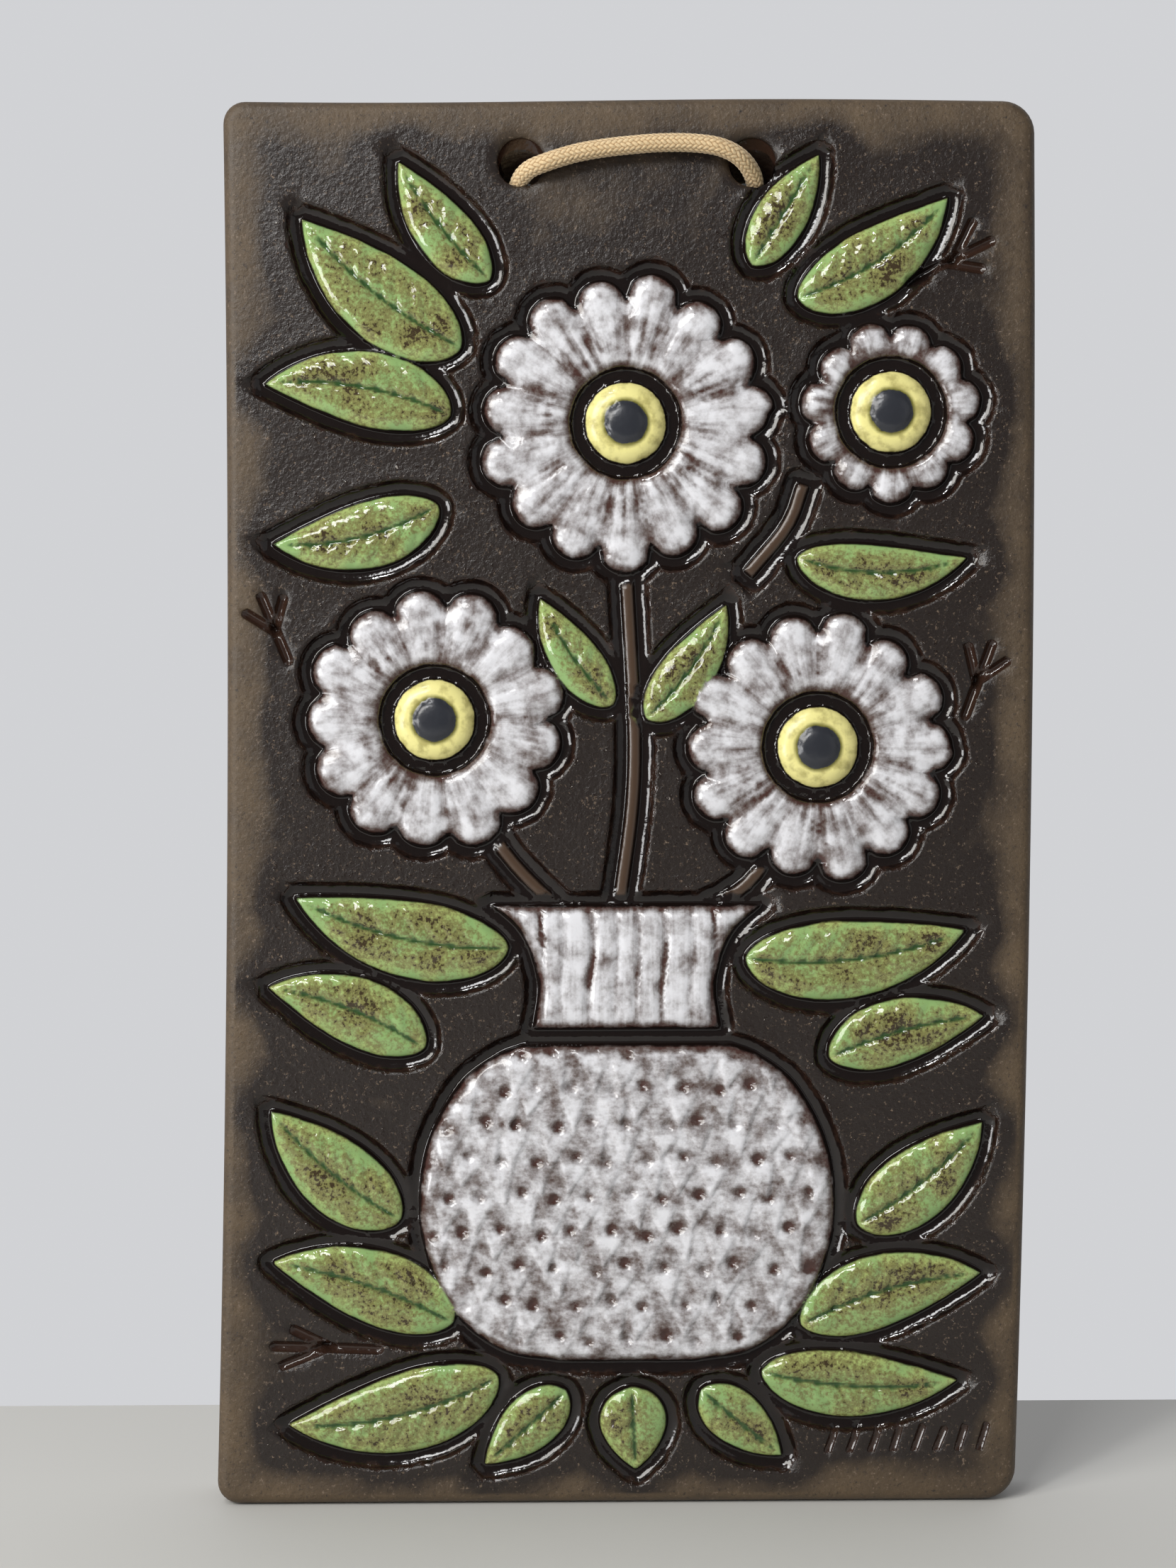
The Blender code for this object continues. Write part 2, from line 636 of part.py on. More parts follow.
def make_cord(collection):
    """The cord from the knot through both holes and back to the knot."""
    curve = bpy.data.curves.new("hanging_cord", "CURVE")
    curve.dimensions = "3D"
    curve.bevel_depth = CORD_DIAMETER / 2
    curve.bevel_resolution = 2
    curve.use_fill_caps = True
    line = even_curve(CORD_ROUTE, CORD_STEP)
    spline = curve.splines.new("POLY")
    spline.points.add(len(line) - 1)
    for point, place in zip(spline.points, line):
        point.co = (*place, 1)
    item = bpy.data.objects.new("hanging_cord", curve)
    collection.objects.link(item)
    return item


def make_knot(collection):
    """The knot's outer shape, a rounded lump between the cord's two ends."""
    mesh = bmesh.new()
    bmesh.ops.create_uvsphere(mesh, u_segments=14, v_segments=8, radius=0.5)
    bmesh.ops.rotate(mesh, matrix=turn_to_x(), verts=mesh.verts[:])
    bmesh.ops.scale(mesh, vec=KNOT_SIZE, verts=mesh.verts[:])
    item = add_mesh("cord_knot", mesh, collection)
    item.location = KNOT_CENTRE
    return item


def turn_to_x():
    """Rotation that lays the sphere's poles along X, towards the cord's ends."""
    return Matrix.Rotation(math.pi / 2, 3, "Y")


def give_material(item, name, color, roughness):
    material = bpy.data.materials.new(name)
    material.use_nodes = True
    shader = material.node_tree.nodes["Principled BSDF"]
    shader.inputs["Base Color"].default_value = (*color, 1)
    shader.inputs["Roughness"].default_value = roughness
    shader.inputs["Metallic"].default_value = 0
    item.data.materials.append(material)


def new_collection(name):
    collection = bpy.data.collections.new(name)
    bpy.context.scene.collection.children.link(collection)
    return collection


def main():
    for item in list(bpy.data.objects):
        bpy.data.objects.remove(item, do_unlink=True)
    parts = new_collection("wall_plaque")
    cutters = new_collection("cutters")
    slab = make_slab(parts)
    for cutter in make_hole_cutters(cutters) + [make_recess_cutter(cutters)]:
        cut(slab, cutter)
    give_material(slab, "glazed_stoneware", (0.075, 0.055, 0.042), 0.55)
    give_material(make_cord(parts), "cord_cotton", (0.62, 0.45, 0.25), 0.9)
    give_material(make_knot(parts), "knot_cotton", (0.60, 0.43, 0.24), 0.9)


main()
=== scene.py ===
# %% [markdown]
# # A stoneware wall plaque, from slab to glaze
# The real object is a slab of coarse brown stoneware, about 31 by 18 cm and as thick as a thumb. Its relief
# was pressed and cut into the soft clay, the figures were filled with shiny glazes, and a cotton cord was
# threaded through two holes. This lesson builds it in that order: view, cord, slab, relief, glazes, light.

# %% Frame
import math

import bmesh
import bpy
import numpy as np
from mathutils import Matrix, Vector, noise
from mathutils.geometry import delaunay_2d_cdt


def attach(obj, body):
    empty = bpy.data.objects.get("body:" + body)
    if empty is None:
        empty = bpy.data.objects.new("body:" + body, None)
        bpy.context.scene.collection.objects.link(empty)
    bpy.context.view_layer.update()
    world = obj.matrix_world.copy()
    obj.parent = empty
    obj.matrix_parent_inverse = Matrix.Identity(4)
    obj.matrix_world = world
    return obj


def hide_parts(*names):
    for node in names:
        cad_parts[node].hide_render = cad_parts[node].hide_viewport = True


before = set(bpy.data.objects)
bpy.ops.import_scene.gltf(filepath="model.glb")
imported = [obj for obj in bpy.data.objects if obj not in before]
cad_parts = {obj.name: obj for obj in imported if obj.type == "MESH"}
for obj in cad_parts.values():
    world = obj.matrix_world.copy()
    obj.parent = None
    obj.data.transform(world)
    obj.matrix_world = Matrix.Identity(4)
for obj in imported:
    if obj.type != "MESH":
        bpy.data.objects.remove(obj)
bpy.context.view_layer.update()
MM = 0.001
print("pieces in the frame:", sorted(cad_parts))

# %% A helper for every object
def into_scene(name, data):
    """A new object with this mesh, lamp or camera, in the scene."""
    item = bpy.data.objects.new(name, data)
    bpy.context.scene.collection.objects.link(item)
    return item


# %% [markdown]
# ## The view
# The photograph looks almost straight at the slab, from a little above its middle. The four corners of
# the slab fix the view: a lens of 60 mm on a 36 mm long side is assumed, and distance, turn and tilt follow.

# %% Camera
LENS_MM = 60
VIEW_DISTANCE = 575.8 * MM
VIEW_ABOVE = math.radians(1.971)
VIEW_TURN = math.radians(-0.657)
VIEW_ROLL = math.radians(-0.142)
VIEW_AIM = Vector((-8.5 * MM, -18 * MM, 5.2 * MM))


def make_camera():
    """Camera that looks back at the aim point from the chosen distance and angles."""
    back = Vector((math.sin(VIEW_TURN) * math.cos(VIEW_ABOVE),
                   -math.cos(VIEW_TURN) * math.cos(VIEW_ABOVE),
                   math.sin(VIEW_ABOVE)))
    right = (-back).cross(Vector((0, 0, 1))).normalized()
    up = right.cross(-back)
    level = Matrix((right, up, back)).transposed()
    data = bpy.data.cameras.new("view")
    data.lens = LENS_MM
    data.sensor_width = 36
    camera = into_scene("view", data)
    camera.matrix_world = Matrix.Translation(VIEW_AIM + VIEW_DISTANCE * back) @ (
        level @ Matrix.Rotation(VIEW_ROLL, 3, "Z")).to_4x4()
    bpy.context.scene.camera = camera
    print("camera at", [round(v, 3) for v in camera.location])


make_camera()

# %% [markdown]
# ## The cord
# A braided cotton cord, 4 mm thick, goes through both holes. A mesh tube shows its braid: strands wind
# around it both ways and pass over and under each other, so the surface is a height over angle and length.

# %% Curves through points
def smooth_curve(points, count):
    """Points at even parameter steps along a Catmull-Rom curve through the given ones."""
    points = np.asarray(points, float)
    padded = np.vstack([2 * points[0] - points[1], points, 2 * points[-1] - points[-2]])
    result = []
    for value in np.linspace(0, len(points) - 1, count):
        i = min(int(value), len(points) - 2)
        t = value - i
        a, b, c, d = padded[i:i + 4]
        result.append(0.5 * (2 * b + (c - a) * t + (2 * a - 5 * b + 4 * c - d) * t ** 2
                             + (3 * b - a - 3 * c + d) * t ** 3))
    return np.array(result)


def even_curve(points, step):
    """The same curve with its points a set distance apart."""
    fine = smooth_curve(points, 40 * len(points))
    run = np.concatenate([[0], np.cumsum(np.linalg.norm(np.diff(fine, axis=0), axis=1))])
    places = np.linspace(0, run[-1], max(3, round(run[-1] / step) + 1))
    return np.stack([np.interp(places, run, fine[:, k]) for k in range(fine.shape[1])], axis=1)


# %% Cord route
CORD_DIAMETER = 0.004
KNOT_CENTRE = (0.0025, -0.0046, 0.1302)
CORD_ROUTE = [
    (-0.0056, -0.0046, 0.1300),
    (-0.0100, -0.0046, 0.1302),
    (-0.0152, -0.0046, 0.1305),
    (-0.0195, -0.0053, 0.1309),
    (-0.0226, -0.0080, 0.1318),
    (-0.0238, -0.0115, 0.1342),
    (-0.0233, -0.0152, 0.1372),
    (-0.0212, -0.0187, 0.1393),
    (-0.0170, -0.0209, 0.1407),
    (-0.0110, -0.0210, 0.1425),
    (-0.0050, -0.0210, 0.1436),
    (0.0012, -0.0210, 0.1443),
    (0.0080, -0.0210, 0.1448),
    (0.0150, -0.0210, 0.1447),
    (0.0208, -0.0209, 0.1438),
    (0.0252, -0.0192, 0.1418),
    (0.0281, -0.0154, 0.1387),
    (0.0288, -0.0115, 0.1350),
    (0.0276, -0.0080, 0.1322),
    (0.0245, -0.0053, 0.1309),
    (0.0202, -0.0046, 0.1305),
    (0.0150, -0.0046, 0.1302),
    (0.0106, -0.0046, 0.1300),
]

# %% Braided tube
CORD_SIDES = 96
CORD_RING_STEP = 0.17 * MM
STRANDS = 12
BRAID_PITCH = 15 * MM
BRAID_HEIGHT = 0.20 * MM


def braid_height(turn, along):
    """Height of the braid from 0 to 1: each strand floats over two others, then dives under two."""
    share = STRANDS * turn / math.tau
    climb = STRANDS * along / BRAID_PITCH
    first, second = share + climb, share - climb
    step = np.mod(np.floor(first) + np.floor(second), 4)
    first, second = first % 1, second % 1
    float_first = (step + second) / 2
    float_second = (step - 2 + first) / 2
    across = np.where(step < 2, first, second)
    along_float = np.where(step < 2, float_first, float_second)
    return np.sqrt(np.clip(1 - (2 * across - 1) ** 2, 0, 1)) * np.sin(math.pi * along_float) ** 0.45


def tube_rings(line, radius, sides, start=0.0):
    """Rings of points around a line, without twist, carrying the braid."""
    ahead = np.gradient(line, axis=0)
    ahead /= np.linalg.norm(ahead, axis=1)[:, None]
    side = np.cross(ahead[0], (0.0, 0.31, 0.95))
    run = start
    turn = np.arange(sides) * math.tau / sides
    rings, heights = [], []
    for k, centre in enumerate(line):
        side = side - ahead[k] * (side @ ahead[k])
        side /= np.linalg.norm(side)
        up = np.cross(ahead[k], side)
        if k:
            run += np.linalg.norm(centre - line[k - 1])
        height = braid_height(turn, run)
        reach = radius + BRAID_HEIGHT * (height - 0.85)
        rings.append(centre + reach[:, None] * (np.cos(turn)[:, None] * side + np.sin(turn)[:, None] * up))
        heights.append(height)
    return rings, heights


def tube_mesh(name, lines, radius):
    """One mesh of closed braided tubes, with the braid's height kept for the material."""
    verts, faces, braid = [], [], []
    for line in lines:
        rings, heights = tube_rings(line, radius, CORD_SIDES)
        first = len(verts)
        for ring, height in zip(rings, heights):
            verts += ring.tolist()
            braid += height.tolist()
        for k in range(len(rings) - 1):
            low = first + k * CORD_SIDES
            for j in range(CORD_SIDES):
                n = (j + 1) % CORD_SIDES
                faces.append((low + j, low + n, low + CORD_SIDES + n, low + CORD_SIDES + j))
        for end, flip in ((0, -1), (len(rings) - 1, 1)):
            rim = [first + end * CORD_SIDES + j for j in range(CORD_SIDES)][::flip]
            verts.append(line[end].tolist())
            braid.append(0.0)
            faces += [(rim[j], rim[(j + 1) % CORD_SIDES], len(verts) - 1) for j in range(CORD_SIDES)]
    data = bpy.data.meshes.new(name)
    data.from_pydata(verts, [], faces)
    data.attributes.new("braid", "FLOAT", "POINT").data.foreach_set("value", braid)
    data.shade_smooth()
    print(name, len(verts), "points")
    return into_scene(name, data)


cord_line = even_curve(CORD_ROUTE, CORD_RING_STEP)
cord = tube_mesh("braided_cord", [cord_line], CORD_DIAMETER / 2)

# %% [markdown]
# ## The knot
# The cord's two ends meet behind the slab in a flat reef knot. Each end makes a bight through the other's.
# The second strand is the first one turned half round the upright axis, so one list of points makes both.

# %% Reef knot
KNOT_STRAND = [
    (-7.9, 0.0, 0.2), (-6.2, 0.8, 0.9), (-4.3, 1.7, 1.9), (-2.2, 0.9, 2.5), (0.0, -1.6, 3.3),
    (2.3, -0.9, 4.5), (4.3, 1.2, 4.0), (5.3, 1.8, 0.9), (4.9, 1.8, -2.4), (2.8, 0.2, -4.3),
    (0.2, -1.6, -3.6), (-2.3, 0.6, -2.6), (-4.6, 1.6, -2.4), (-7.2, 1.2, -3.4), (-10.6, 0.8, -4.6),
]
KNOT_CORD_DIAMETER = 0.0036


def knot_lines():
    """Both strands of the knot, in world metres."""
    strand = even_curve(KNOT_STRAND, 0.25) * MM
    return [strand + KNOT_CENTRE, strand * (-1, -1, 1) + KNOT_CENTRE]


knot = tube_mesh("reef_knot", knot_lines(), KNOT_CORD_DIAMETER / 2)

# %% Cord facts
for piece, node in ((cord, "hanging_cord"), (knot, "cord_knot")):
    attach(piece, "root")
    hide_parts(node)

# %% [markdown]
# ## The slab
# A slab rolled out and pressed by hand is never quite straight: both sides lean and bow a little and the
# top ripples. All outlines here are worked out from a few sizes, the same ones as in the solid model.

# %% Slab sizes
SLAB_WIDTH = 0.178
SLAB_HEIGHT = 0.310
SLAB_THICKNESS = 0.018
CORNER_RADIUS_LEFT = 0.005
CORNER_RADIUS_RIGHT = 0.007
FRONT_EDGE_ROUND = 0.0026
BACK_EDGE_ROUND = 0.0012
SIDE_BOW = 0.0016
SIDE_LEAN = 0.0035
TOP_RIPPLE = 0.0004
HOLE_DIAMETER = 0.010
HOLE_SPACING = 0.0506
HOLE_SHIFT = 0.0025
HOLE_DROP = 0.0135
HOLE_LIP = 0.0015
HOLE_SLANT = 1.08
RECESS_DEPTH = 0.009
RECESS_HEIGHT = 0.019
RECESS_END_ROOM = 0.010
RECESS_CORNER = 0.006
RECESS_DROP = 0.011

# %% Relief sizes
GROOVE_WIDTH = 0.003
GROOVE_DEPTH = 0.002
DOME_REACH = 0.0045
JUG_CROWN = 0.0013
PETAL_CROWN = 0.0009
LEAF_CROWN = 0.0008
RING_CROWN = 0.0010
PUPIL_CROWN = 0.0022
STEM_CROWN = -0.0004
STEM_WIDTH = 0.0032
TWIG_WIDTH = 0.0022
TWIG_DEPTH = 0.0012
PETAL_RIB = 0.0008
MIDRIB_DEPTH = 0.0010
DIMPLE_DEPTH = 0.0008
DIMPLE_PITCH = 0.0080
STROKE_DEPTH = 0.0007
YELLOW_RADIUS = 0.0092
PUPIL_RADIUS = 0.0047
PETAL_CLEARANCE = 0.0026
MARK_WIDTH = 0.0016
MARK_DEPTH = 0.0006
MARK_HEIGHT = 0.0050
MARK_SLANT = 0.0016
MARK_COUNT = 8
MARK_ROW_START = (0.500, -0.925)
MARK_ROW_END = (0.880, -0.922)

# %% [markdown]
# ## The design
# A jug of ox-eye daisies with leaves and forked twigs, drawn from tables of a few numbers each. A place is a
# share of the half width and half height of the face, from -1 to 1. A daisy has its middle, its radius as a
# share of the width, its petals and its turn. A leaf has foot, tip, width over length and bow. A twig has
# foot, tip and shoots, each by how far along it grows, its angle in degrees and its share of the length.

# %% Design
DAISIES = [
    ((0.00, 0.545), 0.183, 15, 0.10),
    ((-0.475, 0.125), 0.163, 13, 0.25),
    ((0.475, 0.085), 0.168, 14, 0.00),
    ((0.655, 0.560), 0.112, 11, 0.15),
]
LEAVES = [
    ((-0.400, 0.650), (-0.800, 0.835), 0.42, 0.06),
    ((-0.430, 0.555), (-0.895, 0.600), 0.41, -0.07),
    ((-0.330, 0.745), (-0.560, 0.915), 0.40, 0.05),
    ((-0.460, 0.430), (-0.880, 0.375), 0.40, 0.08),
    ((0.420, 0.720), (0.800, 0.865), 0.40, -0.08),
    ((0.310, 0.765), (0.480, 0.925), 0.42, 0.00),
    ((0.420, 0.355), (0.850, 0.355), 0.34, -0.09),
    ((-0.030, 0.145), (-0.215, 0.300), 0.40, 0.05),
    ((0.045, 0.125), (0.250, 0.290), 0.40, -0.06),
    ((-0.290, -0.200), (-0.830, -0.125), 0.36, 0.07),
    ((-0.500, -0.345), (-0.895, -0.255), 0.42, -0.06),
    ((0.290, -0.215), (0.850, -0.175), 0.36, -0.07),
    ((0.500, -0.360), (0.895, -0.300), 0.42, 0.05),
    ((-0.560, -0.590), (-0.890, -0.430), 0.46, 0.05),
    ((0.570, -0.600), (0.890, -0.450), 0.46, -0.05),
    ((-0.430, -0.740), (-0.890, -0.650), 0.40, -0.05),
    ((0.430, -0.745), (0.890, -0.670), 0.40, 0.06),
    ((-0.320, -0.815), (-0.850, -0.885), 0.38, 0.07),
    ((-0.150, -0.835), (-0.360, -0.945), 0.52, 0.00),
    ((0.010, -0.830), (0.020, -0.955), 0.80, 0.00),
    ((0.180, -0.835), (0.390, -0.935), 0.52, 0.00),
    ((0.330, -0.810), (0.830, -0.825), 0.34, -0.05),
]
JUG_BODY = [
    (0.170, -0.796), (0.320, -0.778), (0.445, -0.715), (0.515, -0.610),
    (0.505, -0.495), (0.425, -0.400), (0.330, -0.355), (0.260, -0.338),
]
JUG_NECK = [(0.235, -0.318), (0.222, -0.250), (0.262, -0.182), (0.340, -0.138)]
JUG_NECK_STROKES = 11
STEMS = [
    [(-0.02, -0.150), (0.02, 0.060), (0.00, 0.350)],
    [(-0.16, -0.150), (-0.28, -0.080), (-0.38, 0.000)],
    [(0.18, -0.150), (0.30, -0.110), (0.40, -0.030)],
    [(0.44, 0.460), (0.40, 0.400), (0.30, 0.330)],
]
TWIGS = [
    ((0.700, 0.745), (0.900, 0.800), [(0.55, 38, 0.45), (0.45, -35, 0.40)]),
    ((-0.835, 0.210), (-0.900, 0.300), [(0.45, 36, 0.50), (0.50, -38, 0.45)]),
    ((0.840, 0.130), (0.905, 0.230), [(0.45, 34, 0.50), (0.50, -36, 0.45)]),
    ((-0.620, -0.775), (-0.880, -0.770), [(0.50, 24, 0.45), (0.45, -24, 0.40)]),
]


def panel_point(share):
    """A place on the face, from its shares of the half width and half height."""
    return np.array((share[0] * SLAB_WIDTH / 2, share[1] * SLAB_HEIGHT / 2))


# %% [markdown]
# ## Distance is the sculptor's knife
# Every figure lies in its own groove and swells up inside it. So one question shapes the whole face: how
# far is a point from the nearest outline? Outside it, the distance runs down the groove. Inside, it climbs
# the dome. Plain geometry on arrays answers that for a hundred thousand points in a few seconds.

# %% Distances
def segment_distance(points, start, end):
    """Distance from each point to the nearest of the segments."""
    run = end - start
    length = np.maximum((run * run).sum(-1), 1e-18)
    best = np.full(len(points), np.inf)
    for a, r, size in zip(start, run, length):
        reach = points - a
        share = np.clip((reach @ r) / size, 0, 1)
        best = np.minimum(best, ((reach - share[:, None] * r) ** 2).sum(-1))
    return np.sqrt(best)


def inside_outline(points, outline):
    """Which points lie inside a closed outline."""
    inside = np.zeros(len(points), bool)
    for a, b in zip(outline, np.roll(outline, -1, axis=0)):
        crosses = (a[1] > points[:, 1]) != (b[1] > points[:, 1])
        rise = b[1] - a[1] if b[1] != a[1] else 1e-12
        inside ^= crosses & (points[:, 0] < a[0] + (points[:, 1] - a[1]) * (b[0] - a[0]) / rise)
    return inside


def signed_distance(points, outline):
    """Distance from each point to a closed outline, negative inside it."""
    distance = segment_distance(points, outline, np.roll(outline, -1, axis=0))
    return np.where(inside_outline(points, outline), -distance, distance)


# %% Forms
FAR = 12 * MM
PETAL_STEPS = 10
LEAF_STEPS = 28
CIRCLE_STEPS = 60
STEM_STEP = 3 * MM


class Form:
    """One raised figure of the relief: its outline, an opening in it, and how far it stands up."""

    def __init__(self, kind, outline, crown, opening=None, **details):
        self.kind = kind
        self.outline = outline
        self.opening = opening
        self.crown = crown
        self.details = details

    def distance(self, points):
        """Signed distance near the form, and a large value where it doesn't matter."""
        low, high = self.outline.min(axis=0) - FAR, self.outline.max(axis=0) + FAR
        near = ((points > low) & (points < high)).all(axis=1)
        result = np.full(len(points), FAR)
        close = signed_distance(points[near], self.outline)
        if self.opening is not None:
            close = np.maximum(close, -signed_distance(points[near], self.opening))
        result[near] = np.minimum(close, FAR)
        return result


def circle(centre, radius, steps):
    """Points around a circle, anticlockwise."""
    turn = np.arange(steps) * math.tau / steps
    return centre + radius * np.stack([np.cos(turn), np.sin(turn)], axis=1)


def normals_2d(line):
    """Unit normals along an open line, to the right of its run."""
    run = np.gradient(line, axis=0)
    run /= np.linalg.norm(run, axis=1)[:, None]
    return np.stack([run[:, 1], -run[:, 0]], axis=1)


def daisy(share, radius_share, petals, turn):
    """A ring of petals with a domed yellow ring in its middle."""
    centre = panel_point(share)
    radius = radius_share * SLAB_WIDTH
    angle = np.arange(petals * PETAL_STEPS) / PETAL_STEPS * math.tau / petals
    lobe = np.abs(np.cos(petals * angle / 2))
    uneven = 1 + 0.025 * np.sin(2.4 * np.round(petals * angle / math.tau) + 9 * turn)
    reach = radius * uneven * (0.86 + 0.14 * lobe ** 0.6)
    around = np.stack([np.cos(angle + turn), np.sin(angle + turn)], axis=1)
    flower = Form("petals", centre + reach[:, None] * around, PETAL_CROWN,
                  opening=circle(centre, YELLOW_RADIUS + PETAL_CLEARANCE, CIRCLE_STEPS),
                  centre=centre, petals=petals, turn=turn, radius=radius)
    return [flower, Form("ring", circle(centre, YELLOW_RADIUS, CIRCLE_STEPS), RING_CROWN, centre=centre)]


def leaf(foot, tip, width_share, bow_share):
    """A pointed leaf with a bowed midrib."""
    foot, tip = panel_point(foot), panel_point(tip)
    run = tip - foot
    side = np.array((-run[1], run[0]))
    t = (1 - np.cos(np.linspace(0, math.pi, LEAF_STEPS))) / 2
    rib = foot + t[:, None] * run + (4 * bow_share * t * (1 - t))[:, None] * side
    half = width_share / 2 * t ** 0.6 * (1 - t) ** 0.9 / 0.364
    across = normals_2d(rib) * np.linalg.norm(run)
    outline = np.vstack([rib + half[:, None] * across, (rib - half[:, None] * across)[-2:0:-1]])
    return Form("leaf", outline, LEAF_CROWN, rib=rib, strong=1 if foot[0] * run[1] > 0 else -1)


def half_profile(profile, kind, crown):
    """A form that is the same left and right of the panel's middle, from its side's points."""
    side = smooth_curve(profile, 12 * len(profile))
    side = np.array([panel_point(p) for p in side])
    mirrored = side[::-1] * (-1, 1)
    return Form(kind, np.vstack([side, mirrored]), crown)


def stem(points):
    """A narrow raised band along a curve."""
    line = even_curve([panel_point(p) for p in points], STEM_STEP)
    across = normals_2d(line) * STEM_WIDTH / 2
    return Form("stem", np.vstack([line + across, (line - across)[::-1]]), STEM_CROWN)


def relief_forms():
    """All raised forms of the design."""
    forms = []
    for row in DAISIES:
        forms += daisy(*row)
    forms.append(half_profile(JUG_BODY, "body", JUG_CROWN))
    forms.append(half_profile(JUG_NECK, "neck", JUG_CROWN))
    forms += [leaf(*row) for row in LEAVES]
    forms += [stem(row) for row in STEMS]
    return forms


FORMS = relief_forms()
print(len(FORMS), "forms:", {kind: sum(f.kind == kind for f in FORMS) for kind in
                             ("petals", "ring", "body", "neck", "leaf", "stem")})


# %% Pressed lines
def pressed_lines():
    """Every line pressed into the bare ground, as (points, width, depth)."""
    lines = []
    for foot, tip, shoots in TWIGS:
        foot, tip = panel_point(foot), panel_point(tip)
        run = tip - foot
        lines.append((np.array([foot, foot + run / 2, tip]), TWIG_WIDTH, TWIG_DEPTH))
        for along, degrees, share in shoots:
            c, s = math.cos(math.radians(degrees)), math.sin(math.radians(degrees))
            shoot = share * np.array((c * run[0] - s * run[1], s * run[0] + c * run[1]))
            start = foot + along * run
            lines.append((np.array([start, start + shoot]), TWIG_WIDTH, TWIG_DEPTH))
    start, end = panel_point(MARK_ROW_START), panel_point(MARK_ROW_END)
    for k in range(MARK_COUNT):
        foot = start + (end - start) * k / (MARK_COUNT - 1)
        lean = MARK_SLANT * (1 + 0.15 * math.sin(1.7 * k))
        tall = MARK_HEIGHT * (0.94 + 0.06 * math.sin(2.1 * k))
        lines.append((np.array([foot, foot + (lean, tall)]), MARK_WIDTH, MARK_DEPTH))
    return lines


LINES = pressed_lines()


def hole_centres():
    """The two cord holes, left and right."""
    top = SLAB_HEIGHT / 2 - HOLE_DROP
    return [np.array((HOLE_SHIFT + side * HOLE_SPACING / 2, top)) for side in (-1, 1)]


def nearest_form(points):
    """Distance to the nearest form, negative inside, and which form that is."""
    table = np.stack([form.distance(points) for form in FORMS])
    front = table[[form.kind != "stem" for form in FORMS]].min(axis=0)
    for row, form in zip(table, FORMS):
        if form.kind == "stem":
            row[:] = np.maximum(row, GROOVE_WIDTH / 2 - front)
    return table.min(axis=0), table.argmin(axis=0)


# %% [markdown]
# ## Tool marks
# The potter worked each kind of figure with its own tool: a wooden point for the V-shaped marks on the
# jug, a comb for the petals, a knife for the veins. Each gets a function that takes places inside the
# figure and returns how deep the tool went, so the marks are real geometry and catch the light.

# %% Tool marks
COMB_DEPTH = 0.42 * MM
VEIN_SPACING = 4.2 * MM
VEIN_DEPTH = 0.5 * MM
VEIN_HALF = 0.7 * MM
MIDRIB_HALF = 0.62 * MM
CREASE_DEPTH = 0.35 * MM
CREASE_HALF = 0.45 * MM
STROKE_HALF = 0.75 * MM


def dome(depth_inside, reach):
    """Quarter-round rise from 0 at an edge to 1 at the reach."""
    share = np.clip(depth_inside / reach, 0, 1)
    return np.sqrt(1 - (1 - share) ** 2)


def wavy(points, size, seed):
    """Smooth noise from -1 to 1, with waves of about the given size."""
    return np.array([noise.noise(Vector((x / size, z / size, seed))) for x, z in points])


def petal_marks(form, points):
    """Petals bulge along their middles and meet in creases; a comb leaves strokes from the middle out."""
    reach = points - form.details["centre"]
    angle = np.arctan2(reach[:, 1], reach[:, 0]) - form.details["turn"]
    radius = np.linalg.norm(reach, axis=1)
    petals = form.details["petals"]
    crease = 1 - np.abs(np.cos(petals * angle / 2)) ** 0.8
    out = (radius - YELLOW_RADIUS - PETAL_CLEARANCE) / (form.details["radius"] - YELLOW_RADIUS)
    comb = 0.5 + 0.5 * np.cos(3 * petals * angle + 1.2 * np.sin(5 * angle + form.details["radius"] * 900))
    comb_reach = np.clip(1.15 - 1.5 * out, 0, 1) * (0.7 + 0.3 * np.sin(7 * angle))
    marks = crease * np.clip(0.35 + out, 0, 1) * PETAL_RIB + COMB_DEPTH * comb ** 2 * comb_reach
    marks += 0.15 * MM * wavy(points, 5 * MM, 3.0)
    grain = np.stack([radius - YELLOW_RADIUS - PETAL_CLEARANCE, angle * 18 * MM], axis=1)
    return marks, np.clip(comb ** 3 * comb_reach * 0.8 + crease ** 3 * 0.7, 0, 1), grain


def ring_marks(form, points):
    """The dark middle stands as a small dome on the yellow ring, with a crease around it."""
    reach = points - form.details["centre"]
    radius = np.linalg.norm(reach, axis=1)
    rise = (PUPIL_CROWN - RING_CROWN) * dome(PUPIL_RADIUS - radius, PUPIL_RADIUS)
    crease = np.exp(-((radius - PUPIL_RADIUS) / CREASE_HALF) ** 2)
    grain = np.stack([radius, np.arctan2(reach[:, 1], reach[:, 0]) * 10 * MM], axis=1)
    return CREASE_DEPTH * crease - rise, crease, grain


